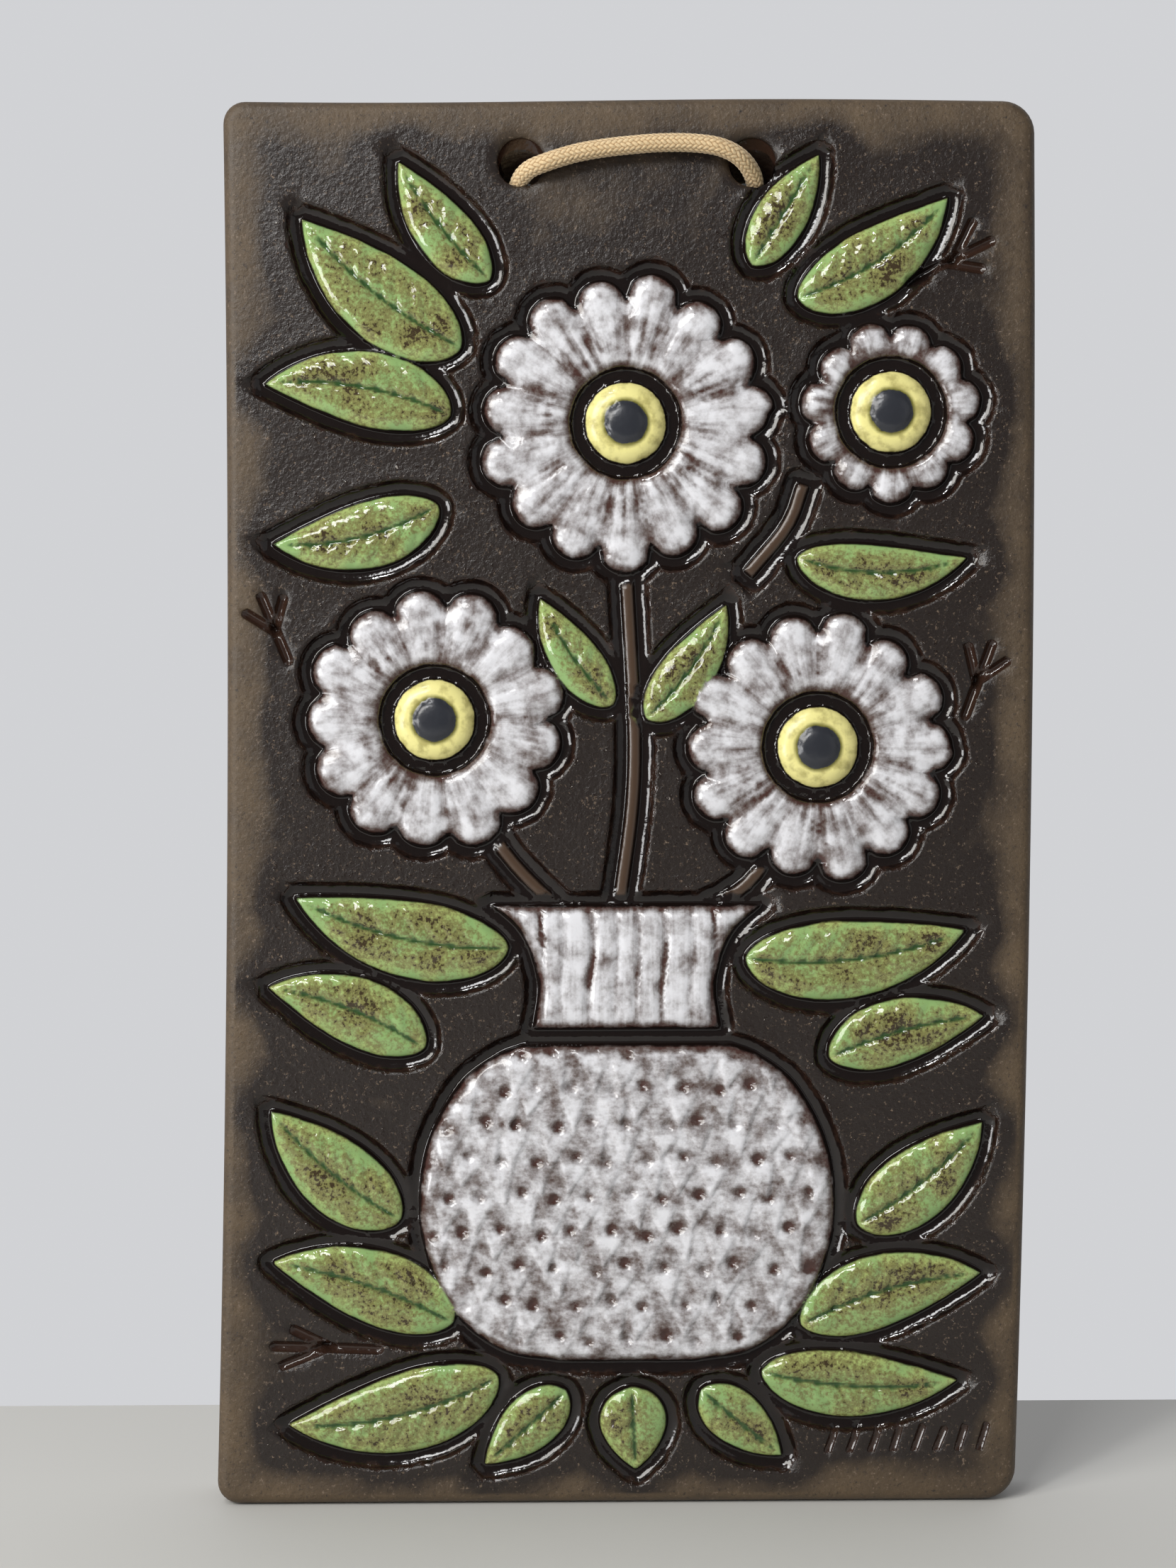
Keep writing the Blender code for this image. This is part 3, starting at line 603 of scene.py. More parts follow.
def leaf_marks(form, points):
    """A cut midrib, side veins that are strong on one half only, and a soft fold."""
    rib = form.details["rib"]
    run = np.diff(rib, axis=0)
    length = np.linalg.norm(run, axis=1)
    along = np.concatenate([[0], np.cumsum(length)])
    reach = points[:, None] - rib[None, :-1]
    share = np.clip((reach * run).sum(-1) / (length ** 2), 0, 1)
    gap = reach - share[..., None] * run
    distance = np.linalg.norm(gap, axis=-1)
    best = distance.argmin(axis=1)
    rows = np.arange(len(points))
    away = distance[rows, best]
    side = np.sign(run[best, 0] * gap[rows, best, 1] - run[best, 1] * gap[rows, best, 0])
    u = along[best] + share[rows, best] * length[best]
    total = along[-1]
    strong = np.where(side == form.details["strong"], 1.0, 0.35)
    phase = (u - 0.85 * away + 0.25 * MM * np.sin(u * 900)) / VEIN_SPACING
    off = np.abs(phase - np.round(phase)) * VEIN_SPACING
    reachable = np.clip((u / total - 0.08) * 9, 0, 1) * np.clip((0.97 - u / total) * 7, 0, 1)
    reachable *= np.clip((7.5 * MM - away) / (2 * MM), 0, 1)
    vein = np.exp(-(off / VEIN_HALF) ** 2) * strong * reachable
    midrib = np.exp(-(away / MIDRIB_HALF) ** 2) * np.clip((0.96 - u / total) * 12, 0, 1)
    marks = MIDRIB_DEPTH * midrib + VEIN_DEPTH * vein + 0.32 * MM * wavy(points, 5.5 * MM, 6.0)
    return marks, np.clip(midrib + 0.55 * vein, 0, 1), np.stack([u, away * side], axis=1)


def dimple_rows():
    """Tool marks on the jug's body as centre, lean and size, in staggered rows, a little uneven."""
    low, high = JUG_BODY[0][1] * SLAB_HEIGHT / 2, JUG_BODY[-1][1] * SLAB_HEIGHT / 2
    half = max(p[0] for p in JUG_BODY) * SLAB_WIDTH / 2
    rows = int((high - low) / DIMPLE_PITCH)
    columns = int(half / DIMPLE_PITCH)
    marks = []
    for row in range(-1, rows + 2):
        for k in range(-columns - 1, columns + 2):
            shake = np.array((math.sin(5.1 * row + 2.3 * k), math.sin(3.7 * row - 4.1 * k))) * 0.9 * MM
            place = ((k + 0.5 * (row % 2)) * DIMPLE_PITCH, low + (row + 0.7) * DIMPLE_PITCH)
            lean = 0.25 * math.sin(7.3 * row + 1.9 * k)
            marks.append((place + shake, lean, 1 + 0.2 * math.sin(2.9 * row * k + k)))
    return marks


SCALE_HALF = 4.3 * MM
SCALE_LENGTH = 9.5 * MM
SCALE_RISE = 0.85 * MM
SCALE_SOFT = 0.75 * MM
SCALE_REACH = 12 * MM
PIT_HALF = (1.15 * MM, 1.25 * MM)
PIT_DROP = 0.2 * MM


def body_marks(form, points):
    """Rows of pushed-up scales with pointed lower edges, and a pit where the tool went in between them."""
    scales = np.zeros(len(points))
    pits = np.zeros(len(points))
    for centre, lean, size in dimple_rows():
        reach = points - centre
        near = (np.abs(reach) < SCALE_REACH).all(axis=1)
        u, v = reach[near].T
        u, v = u * math.cos(lean) - v * math.sin(lean), -u * math.sin(lean) - v * math.cos(lean)
        down = v / (SCALE_LENGTH * size)
        edge = (SCALE_HALF * (1 - down) - np.abs(u)) * 0.9
        edge = np.clip(edge / SCALE_SOFT, 0, 1)
        soft = edge ** 2 * (3 - 2 * edge)
        rise = soft * np.clip(0.30 + 0.70 * down, 0, 1) * (down > 0)
        rise *= np.clip(down / 0.15, 0, 1)
        scales[near] = np.maximum(scales[near], rise * (0.8 + 0.2 * size))
        pit = np.exp(-((u / PIT_HALF[0]) ** 2 + ((v - PIT_DROP) / PIT_HALF[1]) ** 2))
        pits[near] += size * pit
    hollow = np.clip(1.15 * pits - 0.35 * scales, 0, 1)
    depth = DIMPLE_DEPTH * pits - SCALE_RISE * (scales - 0.35) + 0.22 * MM * wavy(points, 4.5 * MM, 4.0)
    return depth, np.clip(hollow + 0.35 * (1 - scales) - 0.12, 0, 1), points * (6, 1)


def neck_marks(form, points):
    """Upright strokes side by side, of uneven width and depth."""
    width = JUG_NECK[-1][0] * SLAB_WIDTH
    x = points[:, 0] + 0.5 * MM * np.sin(points[:, 1] * 260) + 0.6 * MM * np.sin(points[:, 0] * 330)
    share = x * JUG_NECK_STROKES / width - 0.5
    off = np.abs(share - np.round(share)) * width / JUG_NECK_STROKES
    stroke = np.exp(-(off / STROKE_HALF) ** 2) * (0.8 + 0.3 * np.sin(2.6 * np.round(share)))
    return 1.3 * stroke * STROKE_DEPTH, np.clip(stroke ** 2, 0, 1), points[:, ::-1].copy()


def stem_marks(form, points):
    """A faint unevenness only."""
    return 0.12 * MM * wavy(points, 2 * MM, 9.0), np.zeros(len(points)), points.copy()


MARKS = {"petals": petal_marks, "ring": ring_marks, "leaf": leaf_marks,
         "body": body_marks, "neck": neck_marks, "stem": stem_marks}

# %% [markdown]
# ## One height for the whole face
# Groove, dome and tool marks add up to one height over the bare ground. The same pass notes what the
# materials need to know later at each point: the distance to the outline, which glaze lies there, how
# deep a tool mark is and which way the tool ran. Blender stores such notes as attributes of the mesh.

# %% Height
PRESS_LIP = 0.18 * MM
GROUND_WAVES = 0.12 * MM
GROOVE_SHAKE = 0.22 * MM
GLAZE_COLUMNS = {"petals": 0, "body": 0, "neck": 0, "leaf": 1, "ring": 2, "stem": 3}
HOLE_POINTS = 72
HALVINGS = 24


def lip_depth(away):
    """How far the face dips towards a hole, from the distance to the straight hole's edge."""
    return HOLE_LIP * (1 - dome(away, 2 * HOLE_LIP))


def hole_rim(centre):
    """The hole's edge: a plain circle above, and below it where the slanted wall meets the dip around it."""
    straight = circle(centre, HOLE_DIAMETER / 2, HOLE_POINTS)
    low, high = np.zeros(len(straight)), np.full(len(straight), HOLE_LIP)
    for _ in range(HALVINGS):
        depth = (low + high) / 2
        rim = straight - np.stack([np.zeros(len(depth)), HOLE_SLANT * depth], axis=1)
        deeper = lip_depth(np.linalg.norm(rim - centre, axis=1) - HOLE_DIAMETER / 2) > depth
        low, high = np.where(deeper, depth, low), np.where(deeper, high, depth)
    below = np.clip((centre[1] - straight[:, 1]) / (HOLE_DIAMETER / 4), 0, 1)
    return straight + (below ** 2 * (3 - 2 * below))[:, None] * (rim - straight)


def carve(points, border):
    """Height of the face over its bare ground, with the notes for the materials."""
    distance, which = nearest_form(points)
    shaken = distance + GROOVE_SHAKE * wavy(points, 2.6 * MM, 1.0) * np.clip(distance / MM, 0, 1)
    groove = np.clip(shaken / GROOVE_WIDTH, 0, 1)
    height = -GROOVE_DEPTH * np.sqrt(np.clip(1 - groove ** 2, 0, 1))
    outside = distance > 0
    lip = PRESS_LIP * np.exp(-((distance - GROOVE_WIDTH - 0.5 * MM) / (0.9 * MM)) ** 2)
    waves = GROUND_WAVES * wavy(points, 17 * MM, 2.0) * np.clip(distance / GROOVE_WIDTH, 0, 1)
    height += np.where(outside, lip + waves, 0)
    notes = {"hollow": np.zeros(len(points)), "grain": np.zeros((len(points), 2)),
             "kind": np.zeros((len(points), 4))}
    for k, form in enumerate(FORMS):
        notes["kind"][which == k, GLAZE_COLUMNS[form.kind]] = 1
        mask = (which == k) & (distance < 0)
        if not mask.any():
            continue
        inside = -distance[mask]
        rise = -GROOVE_DEPTH + (GROOVE_DEPTH + form.crown) * dome(inside, DOME_REACH)
        depth, hollow, grain = MARKS[form.kind](form, points[mask])
        fade = np.clip(inside / DOME_REACH * 1.6, 0, 1)
        height[mask] = rise - depth * fade
        notes["hollow"][mask] = hollow * fade
        notes["grain"][mask] = grain
    line_gap = np.full(len(points), FAR)
    for line, width, depth in LINES:
        away = segment_distance(points, line[:-1], line[1:])
        height -= depth * np.sqrt(np.clip(1 - (away / (width / 2)) ** 2, 0, 1)) ** 1.4
        line_gap = np.minimum(line_gap, away - width / 2)
    for centre in hole_centres():
        away = np.linalg.norm(points - centre, axis=1) - HOLE_DIAMETER / 2
        height -= lip_depth(away)
        away = np.minimum(away, signed_distance(points, hole_rim(centre)))
        line_gap = np.minimum(line_gap, np.where(away < 0.2 * MM, away - 0.4 * MM, FAR))
    margin = segment_distance(points, border, np.roll(border, -1, axis=0))
    notes["rim"] = distance
    notes["line"] = line_gap
    notes["edge"] = margin
    return height * np.clip(margin / (2 * MM), 0, 1), notes


# %% [markdown]
# ## Where the points go
# A plain grid would blur the outlines or need millions of points. Here rings of points follow each outline
# at chosen distances, close together where the form turns sharply, and a loose grid fills what is left.

# %% Points
RING_STEP = 0.95 * MM
RING_OFFSETS = [value * MM for value in
                (3.7, 3.1, 2.85, 2.5, 1.9, 1.2, 0.5, 0.0, -0.25, -0.6, -1.1, -1.7, -2.4, -3.2, -4.0)]
FILL_STEP = 0.84 * MM
BODY_STEP = 0.62 * MM
GROUND_STEP = 2.4 * MM
LINE_STEP = 0.55 * MM
LINE_SHARES = (-0.62, -0.45, -0.25, 0, 0.25, 0.45, 0.62)
HOLE_ROOMS = [value * MM for value in (0.1, 0.3, 0.7, 1.2, 1.8, 2.5, 3.2)]
BORDER_ROOM = 0.7 * MM
RIM_ROOM = 0.05 * MM


def resample(outline, step):
    """A closed outline with points a set distance apart."""
    closed = np.vstack([outline, outline[:1]])
    run = np.concatenate([[0], np.cumsum(np.linalg.norm(np.diff(closed, axis=0), axis=1))])
    places = np.linspace(0, run[-1], max(12, round(run[-1] / step)), endpoint=False)
    return np.stack([np.interp(places, run, closed[:, k]) for k in (0, 1)], axis=1)


def fanned_normals(outline):
    """Outline points with outward normals; sharp convex corners get a fan of them."""
    before = outline - np.roll(outline, 1, axis=0)
    after = np.roll(outline, -1, axis=0) - outline
    area = (outline[:, 0] * np.roll(outline[:, 1], -1) - outline[:, 1] * np.roll(outline[:, 0], -1)).sum()
    turn = np.sign(area)
    n1 = turn * np.stack([before[:, 1], -before[:, 0]], axis=1) / np.linalg.norm(before, axis=1)[:, None]
    n2 = turn * np.stack([after[:, 1], -after[:, 0]], axis=1) / np.linalg.norm(after, axis=1)[:, None]
    places, normals = [], []
    for point, a, b in zip(outline, n1, n2):
        bend = turn * (a[0] * b[1] - a[1] * b[0])
        parts = 1 + int(6 * max(bend, 0)) * (1 if a @ b > -0.5 else 2)
        for k in range(parts):
            mix = a + (b - a) * ((k + 0.5) / parts)
            places.append(point)
            normals.append(mix / max(np.linalg.norm(mix), 1e-9))
    return np.array(places), np.array(normals)


def ring_cloud():
    """Points along all contours of all forms."""
    cloud = []
    for form in FORMS:
        outlines = [(form.outline, 1)] + ([(form.opening, -1)] if form.opening is not None else [])
        for outline, side in outlines:
            places, normals = fanned_normals(resample(outline, RING_STEP))
            for offset in RING_OFFSETS:
                moved = places + side * offset * normals
                cloud.append(moved[np.abs(form.distance(moved) - offset) < 0.06 * MM])
    return np.vstack(cloud)


def grid(low, high, step):
    """A staggered grid of points over a box."""
    rows = np.arange(low[1], high[1], step * 0.866)
    columns = np.arange(low[0], high[0], step)
    points = [np.stack([columns + (step / 2 if k % 2 else 0), np.full(len(columns), z)], axis=1)
              for k, z in enumerate(rows)]
    return np.vstack(points)


def face_points(border):
    """All points of the carved face, without the border's own."""
    rings = ring_cloud()
    distance, _ = nearest_form(rings)
    offsets = np.array(RING_OFFSETS)
    keep = np.abs(distance[:, None] - offsets[None]).min(axis=1) < 0.08 * MM
    rings = rings[keep]
    low, high = border.min(axis=0), border.max(axis=0)
    fine = grid(low, high, FILL_STEP)
    coarse = grid(low, high, GROUND_STEP)
    distance, which = nearest_form(fine)
    body = [form.kind for form in FORMS].index("body")
    deep = (distance < RING_OFFSETS[-1] - 0.45 * FILL_STEP) & (which != body)
    scales = grid(FORMS[body].outline.min(axis=0), FORMS[body].outline.max(axis=0), BODY_STEP)
    scales = scales[nearest_form(scales)[0] < RING_OFFSETS[-1] - 0.45 * BODY_STEP]
    bare = nearest_form(coarse)[0] > RING_OFFSETS[0] + 0.45 * GROUND_STEP
    marks = []
    for line, width, _ in LINES:
        length = np.linalg.norm(line[-1] - line[0])
        across = normals_2d(line)[0]
        for k in np.linspace(-0.05, 1.05, max(6, int(length / LINE_STEP))):
            middle = line[0] + (line[-1] - line[0]) * k
            marks += [middle + across * width * share for share in LINE_SHARES]
    marks = np.array(marks)
    for centre in hole_centres():
        for room in HOLE_ROOMS:
            marks = np.vstack([marks, circle(centre, HOLE_DIAMETER / 2 + room, HOLE_POINTS)])
    every = np.vstack([rings, fine[deep], scales, coarse[bare], marks])
    margin = segment_distance(every, border, np.roll(border, -1, axis=0))
    every = every[inside_outline(every, border) & (margin > BORDER_ROOM)]
    for centre in hole_centres():
        every = every[signed_distance(every, hole_rim(centre)) > RIM_ROOM]
    return every


# %% Slab outline
EDGE_STEP = 1.6 * MM
CORNER_STEPS = 8


def rounded_rectangle(half, left_radius, right_radius):
    """Points and normals around the four corners of a rectangle, anticlockwise."""
    points, normals = [], []
    for quarter, (sx, sz) in enumerate(((1, -1), (1, 1), (-1, 1), (-1, -1))):
        radius = right_radius if sx > 0 else left_radius
        for k in range(CORNER_STEPS + 1):
            turn = math.radians(-90 + 90 * (quarter + k / CORNER_STEPS))
            normals.append(np.array((math.cos(turn), math.sin(turn))))
            points.append((half - radius) * (sx, sz) + radius * normals[-1])
    return points, normals


def slab_outline():
    """The slab's outline, anticlockwise, with points along its sides, and its normals."""
    half = np.array((SLAB_WIDTH, SLAB_HEIGHT)) / 2
    points, normals = rounded_rectangle(half, CORNER_RADIUS_LEFT, CORNER_RADIUS_RIGHT)
    full_points, full_normals = [], []
    for k, (point, normal) in enumerate(zip(points, normals)):
        following = points[(k + 1) % len(points)]
        full_points.append(point)
        full_normals.append(normal)
        if (k + 1) % (CORNER_STEPS + 1) == 0:
            parts = max(2, round(np.linalg.norm(following - point) / EDGE_STEP))
            full_points += [point + (following - point) * i / parts for i in range(1, parts)]
            full_normals += [normal] * (parts - 1)
    return np.array(full_points), np.array(full_normals)


def hand_bent(points):
    """The lean and bow of both sides and the ripple of the top that hand pressing leaves."""
    half_width, half_height = SLAB_WIDTH / 2, SLAB_HEIGHT / 2
    x, z = points[:, 0], points[:, 1]
    bow = SIDE_BOW * (0.5 - (z / half_height) ** 2) + SIDE_LEAN / 2 * z / half_height
    ripple = TOP_RIPPLE * np.sin(3.1 * x / half_width + 0.4) * np.clip(z / half_height, 0, 1)
    return np.stack([x + bow, z + ripple], axis=1)


# %% [markdown]
# ## Closing the slab
# The carved face is only a sheet. Rings of points carry it over the rounded edge, down the side and onto
# the back. The holes and the recess behind them are lofted the same way, so no Boolean cuts a fine mesh.

# %% Shell
class Shell:
    """Collects points and faces of one closed body; rings are lists of point numbers."""

    def __init__(self):
        self.points = []
        self.faces = []

    def add(self, flat, depth):
        """Adds points of the panel's plane at a depth, and returns their numbers."""
        depth = np.broadcast_to(depth, len(flat))
        first = len(self.points)
        self.points += [(x, y, z) for (x, z), y in zip(flat.tolist(), depth.tolist())]
        return list(range(first, first + len(flat)))

    def join(self, one, other):
        """A band of faces between two rings of equal count."""
        for k in range(len(one)):
            n = (k + 1) % len(one)
            self.faces.append((one[k], one[n], other[n], other[k]))

    def flat(self, numbers):
        """Places of numbered points in the panel's plane."""
        return np.array([(self.points[k][0], self.points[k][2]) for k in numbers])

    def fill(self, outer, holes, loose=()):
        """Triangles between an outer ring and the rings of holes, through loose points."""
        numbers = list(outer) + [k for ring in holes for k in ring] + list(loose)
        edges, first = [], 0
        for ring in [outer, *holes]:
            edges += [(first + k, first + (k + 1) % len(ring)) for k in range(len(ring))]
            first += len(ring)
        places = self.flat(numbers)
        filled = delaunay_2d_cdt([Vector(p) for p in places], edges, [], 1, 1e-7)
        origin = [numbers[row[0]] for row in filled[3]]
        middle = np.array([(filled[0][a] + filled[0][b] + filled[0][c]) / 3 for a, b, c in filled[2]])
        keep = np.ones(len(middle), bool)
        for ring in holes:
            keep &= ~inside_outline(middle, self.flat(ring))
        self.faces += [tuple(origin[k] for k in face) for face, kept in zip(filled[2], keep) if kept]


def loft_rings(shell, ring, flat_rings, depths):
    """Joins a ring to further ones, each at its own depth, and returns the last."""
    for flat_ring, depth in zip(flat_rings, depths):
        following = shell.add(flat_ring, depth)
        shell.join(ring, following)
        ring = following
    return ring


def recess_outline(inset):
    """The recess in the back: a rounded block behind both holes."""
    half = np.array((HOLE_SPACING / 2 + RECESS_END_ROOM, RECESS_HEIGHT / 2)) - inset
    corner = RECESS_CORNER - inset
    centre = np.array((HOLE_SHIFT, hole_centres()[0][1] - RECESS_DROP))
    return centre + rounded_rectangle(half, corner, corner)[0]


# %% Relief slab
ROUND_STEPS = 5
SIDE_DEPTHS = [-12 * MM, -8.5 * MM, -5 * MM]
HOLE_DEPTHS = [-15.8 * MM, -13.5 * MM, -11 * MM, -RECESS_DEPTH]
RECESS_EDGE = 0.4 * MM


def make_slab():
    """The whole fired piece as one closed mesh, with the notes for its materials."""
    outer, normals = slab_outline()
    border = hand_bent(outer - FRONT_EDGE_ROUND * normals)
    inner = face_points(border)
    rims = [hole_rim(centre) for centre in hole_centres()]
    flat = np.vstack([border, *rims, inner])
    height, notes = carve(flat, border)
    shell = Shell()
    numbers = shell.add(flat, -SLAB_THICKNESS - height)
    starts = [len(border) + k * HOLE_POINTS for k in range(3)]
    ring = numbers[:starts[0]]
    holes = [numbers[start:start + HOLE_POINTS] for start in starts[:2]]
    shell.fill(ring, holes, numbers[starts[2]:])
    angles = [math.pi / 2 * (k + 1) / ROUND_STEPS for k in range(ROUND_STEPS)]
    insets = [FRONT_EDGE_ROUND * (1 - math.sin(a)) for a in angles]
    depths = [-SLAB_THICKNESS + FRONT_EDGE_ROUND * (1 - math.cos(a)) for a in angles]
    insets += [0] * (len(SIDE_DEPTHS) + 1) + [BACK_EDGE_ROUND * 0.3, BACK_EDGE_ROUND]
    depths += SIDE_DEPTHS + [-BACK_EDGE_ROUND, -BACK_EDGE_ROUND * 0.3, 0]
    back = loft_rings(shell, ring, [hand_bent(outer - inset * normals) for inset in insets], depths)
    mouth = shell.add(recess_outline(-RECESS_EDGE), 0)
    shell.fill(back, [mouth])
    floor = loft_rings(shell, mouth, [recess_outline(inset) for inset in (0, 0, RECESS_EDGE)],
                       [-RECESS_EDGE, -RECESS_DEPTH + RECESS_EDGE, -RECESS_DEPTH])
    ends = []
    for hole, centre in zip(holes, hole_centres()):
        straight = circle(centre, HOLE_DIAMETER / 2, HOLE_POINTS)
        slanted = [straight - (0, HOLE_SLANT * (depth + SLAB_THICKNESS)) for depth in HOLE_DEPTHS]
        ends.append(loft_rings(shell, hole, slanted, HOLE_DEPTHS))
    shell.fill(floor, ends)
    return shell, notes, len(flat)


IN_GLAZE_MM = 1.5


def full_notes(shell, notes, carved):
    """The notes for every point: the carved face's own, dark glaze in the holes, plain ones elsewhere."""
    rest = len(shell.points) - carved
    places = np.array(shell.points)[carved:]
    raised = places[:, [0, 2]]
    raised[:, 1] += HOLE_SLANT * (places[:, 1] + SLAB_THICKNESS)
    away = np.min([np.linalg.norm(raised - centre, axis=1) for centre in hole_centres()], axis=0)
    in_hole = (away < HOLE_DIAMETER / 2 + 0.3 * MM) & (places[:, 1] < -RECESS_DEPTH + 0.1 * MM)
    return {
        "rim_mm": np.concatenate([notes["rim"] / MM, np.where(in_hole, IN_GLAZE_MM, FAR / MM)]),
        "line_mm": np.concatenate([notes["line"] / MM, np.where(in_hole, -1.0, FAR / MM)]),
        "edge_mm": np.concatenate([notes["edge"] / MM, np.zeros(rest)]),
        "hollow": np.concatenate([notes["hollow"], np.zeros(rest)]),
        "kind": np.vstack([notes["kind"], np.zeros((rest, 4))]),
        "grain": np.vstack([np.column_stack([notes["grain"] / MM, np.zeros(carved)]), np.zeros((rest, 3))]),
    }


ATTRIBUTE_KINDS = {1: ("FLOAT", "value"), 3: ("FLOAT_VECTOR", "vector"), 4: ("FLOAT_COLOR", "color")}


def to_object(name, shell, notes, carved):
    """Makes the mesh from the used points, turns its faces outwards, and stores the notes as attributes."""
    values = full_notes(shell, notes, carved)
    used = np.zeros(len(shell.points), bool)
    for face in shell.faces:
        used[list(face)] = True
    number = (np.cumsum(used) - 1).tolist()
    faces = [[number[k] for k in face] for face in shell.faces]
    data = bpy.data.meshes.new(name)
    data.from_pydata(np.array(shell.points)[used].tolist(), [], faces)
    mesh = bmesh.new()
    mesh.from_mesh(data)
    bmesh.ops.recalc_face_normals(mesh, faces=mesh.faces[:])
    open_edges = sum(not e.is_manifold for e in mesh.edges)
    mesh.to_mesh(data)
    mesh.free()
    for key, array in values.items():
        array = array[used].astype(np.float32)
        kind, field = ATTRIBUTE_KINDS[1 if array.ndim == 1 else array.shape[1]]
        data.attributes.new(key, kind, "POINT").data.foreach_set(field, array.ravel())
    data.shade_smooth()
    triangles = sum(len(p.vertices) - 2 for p in data.polygons)
    print(name, len(data.vertices), "points", triangles, "triangles", open_edges, "open edges")
    return into_scene(name, data)


slab = to_object("relief_slab", *make_slab())
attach(slab, "root")
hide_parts("plaque")

# %% [markdown]
# ## Materials
# Colours are written as the sRGB hex values a colour picker shows, and one function turns them into the
# linear numbers that Blender mixes. A second function adds a node: its kind, what goes in, its settings.
#
# A number before a value stands for the socket's place. In Map Range 0 is the value, 1 and 2 are the range
# it comes from, 3 and 4 the range it goes to, 0 to 1 if left out. In Math 0, 1 and 2 are the numbers in
# order. In Mix 0 is the share, 2 and 3 are the two numbers, 6 and 7 the two colours.
#
# Masks speak in millimetres. Every point of the mesh carries its distance to the nearest outline, negative
# inside a figure, to the nearest pressed line and to the slab's edge, so a glaze ends where the form does.

# %% Helpers for materials
def paint(code):
    """A hex colour as linear red, green, blue and alpha."""
    values = [int(code[k:k + 2], 16) / 255 for k in (1, 3, 5)]
    return (*[v / 12.92 if v <= 0.04045 else ((v + 0.055) / 1.055) ** 2.4 for v in values], 1)


def add(tree, kind, inputs=None, take=0, **settings):
    """Adds a shader node; an input that is a socket is linked, any other value is set.
    It gives back the output named by take, or the whole node where take is None."""
    node = tree.nodes.new("ShaderNode" + kind)
    for key, value in settings.items():
        setattr(node, key, value)
    for key, value in (inputs or {}).items():
        if isinstance(value, bpy.types.NodeSocket):
            tree.links.new(value, node.inputs[key])
        else:
            node.inputs[key].default_value = value
    return node if take is None else node.outputs[take]


def per_mm(size):
    """Texture scale whose pattern repeats about every size in millimetres."""
    return 1 / (size * MM)


COLOUR = {"data_type": "RGBA", "take": 2}
SMOOTH = {"interpolation_type": "SMOOTHSTEP"}


def new_material(name):
    """A material with an empty node tree, and that tree."""
    material = bpy.data.materials.new(name)
    material.use_nodes = True
    material.node_tree.nodes.clear()
    return material, material.node_tree


# %% [markdown]
# ### Bare stoneware
# The body is a coarse stoneware, high in iron, sponged smooth and fired without glaze: matt, chocolate
# brown, lighter where the sponge wore the edges, darker where glaze vapour settled near the figures.

# %% Bare stoneware
def stoneware(tree, place, rim, edge):
    """Colour, roughness and bump height in millimetres of the bare clay."""
    clouds = add(tree, "TexNoise", {"Vector": place, "Scale": per_mm(14), "Detail": 5, "Roughness": 0.6})
    grit = add(tree, "TexNoise", {"Vector": place, "Scale": per_mm(0.8), "Detail": 4, "Roughness": 0.65})
    away = add(tree, "MapRange", {0: rim, 1: 2.0, 2: 12.0}, **SMOOTH)
    worn = add(tree, "MapRange", {0: edge, 1: 10.0, 2: 1.0, 4: 0.45}, **SMOOTH)
    mixed = add(tree, "Math", {0: away, 1: 0.6, 2: worn}, operation="MULTIPLY_ADD")
    mixed = add(tree, "Math", {0: mixed, 1: clouds}, operation="ADD")
    light = add(tree, "MapRange", {0: mixed, 1: 1.08, 2: 1.72})
    base = add(tree, "Mix", {0: light, 6: paint("#1F1713"), 7: paint("#574733")}, **COLOUR)
    dark = add(tree, "MapRange", {0: grit, 1: 0.58, 2: 0.72})
    pale = add(tree, "MapRange", {0: grit, 1: 0.40, 2: 0.28})
    specks = add(tree, "TexNoise", {"Vector": place, "Scale": per_mm(1.3), "Detail": 3, "Roughness": 0.7})
    near = add(tree, "Math", {0: away, 1: -0.12, 2: specks}, operation="MULTIPLY_ADD")
    scuff = add(tree, "MapRange", {0: near, 1: 0.655, 2: 0.70}, **SMOOTH)
    for share, hue in ((dark, "#231B17"), (pale, "#6E5E4F"), (scuff, "#8F8983")):
        base = add(tree, "Mix", {0: share, 6: base, 7: paint(hue)}, **COLOUR)
    rough = add(tree, "MapRange", {0: mixed, 1: 1.05, 2: 1.60, 3: 0.34, 4: 0.60})
    glint = add(tree, "MapRange", {0: near, 1: 0.56, 2: 0.60}, **SMOOTH)
    rough = add(tree, "Mix", {0: glint, 2: rough, 3: 0.16})
    height = add(tree, "Math", {0: specks, 1: 0.27}, operation="MULTIPLY")
    height = add(tree, "Math", {0: grit, 1: 0.08, 2: height}, operation="MULTIPLY_ADD")
    return base, rough, height


# %% [markdown]
# ### Near-black glaze in the grooves
# An iron glaze pooled in the grooves and broke to red-brown where it is thin. It is glass: very smooth,
# so each groove carries a thin bright line of reflected light.

# %% Groove glaze
def groove_glaze(tree, place, rim):
    """Colour and coverage of the dark glaze that lines each groove."""
    shake = add(tree, "TexNoise", {"Vector": place, "Scale": per_mm(3.0), "Detail": 4, "Roughness": 0.6})
    wobble = add(tree, "MapRange", {0: shake, 1: 0.3, 2: 0.7, 3: -0.9, 4: 0.9})
    shifted = add(tree, "Math", {0: rim, 1: wobble}, operation="ADD")
    cover = add(tree, "MapRange", {0: shifted, 1: 3.35, 2: 2.85}, **SMOOTH)
    thin = add(tree, "MapRange", {0: shifted, 1: 2.0, 2: 3.2}, **SMOOTH)
    colour = add(tree, "Mix", {0: thin, 6: paint("#150E0C"), 7: paint("#2E1F18")}, **COLOUR)
    return colour, cover


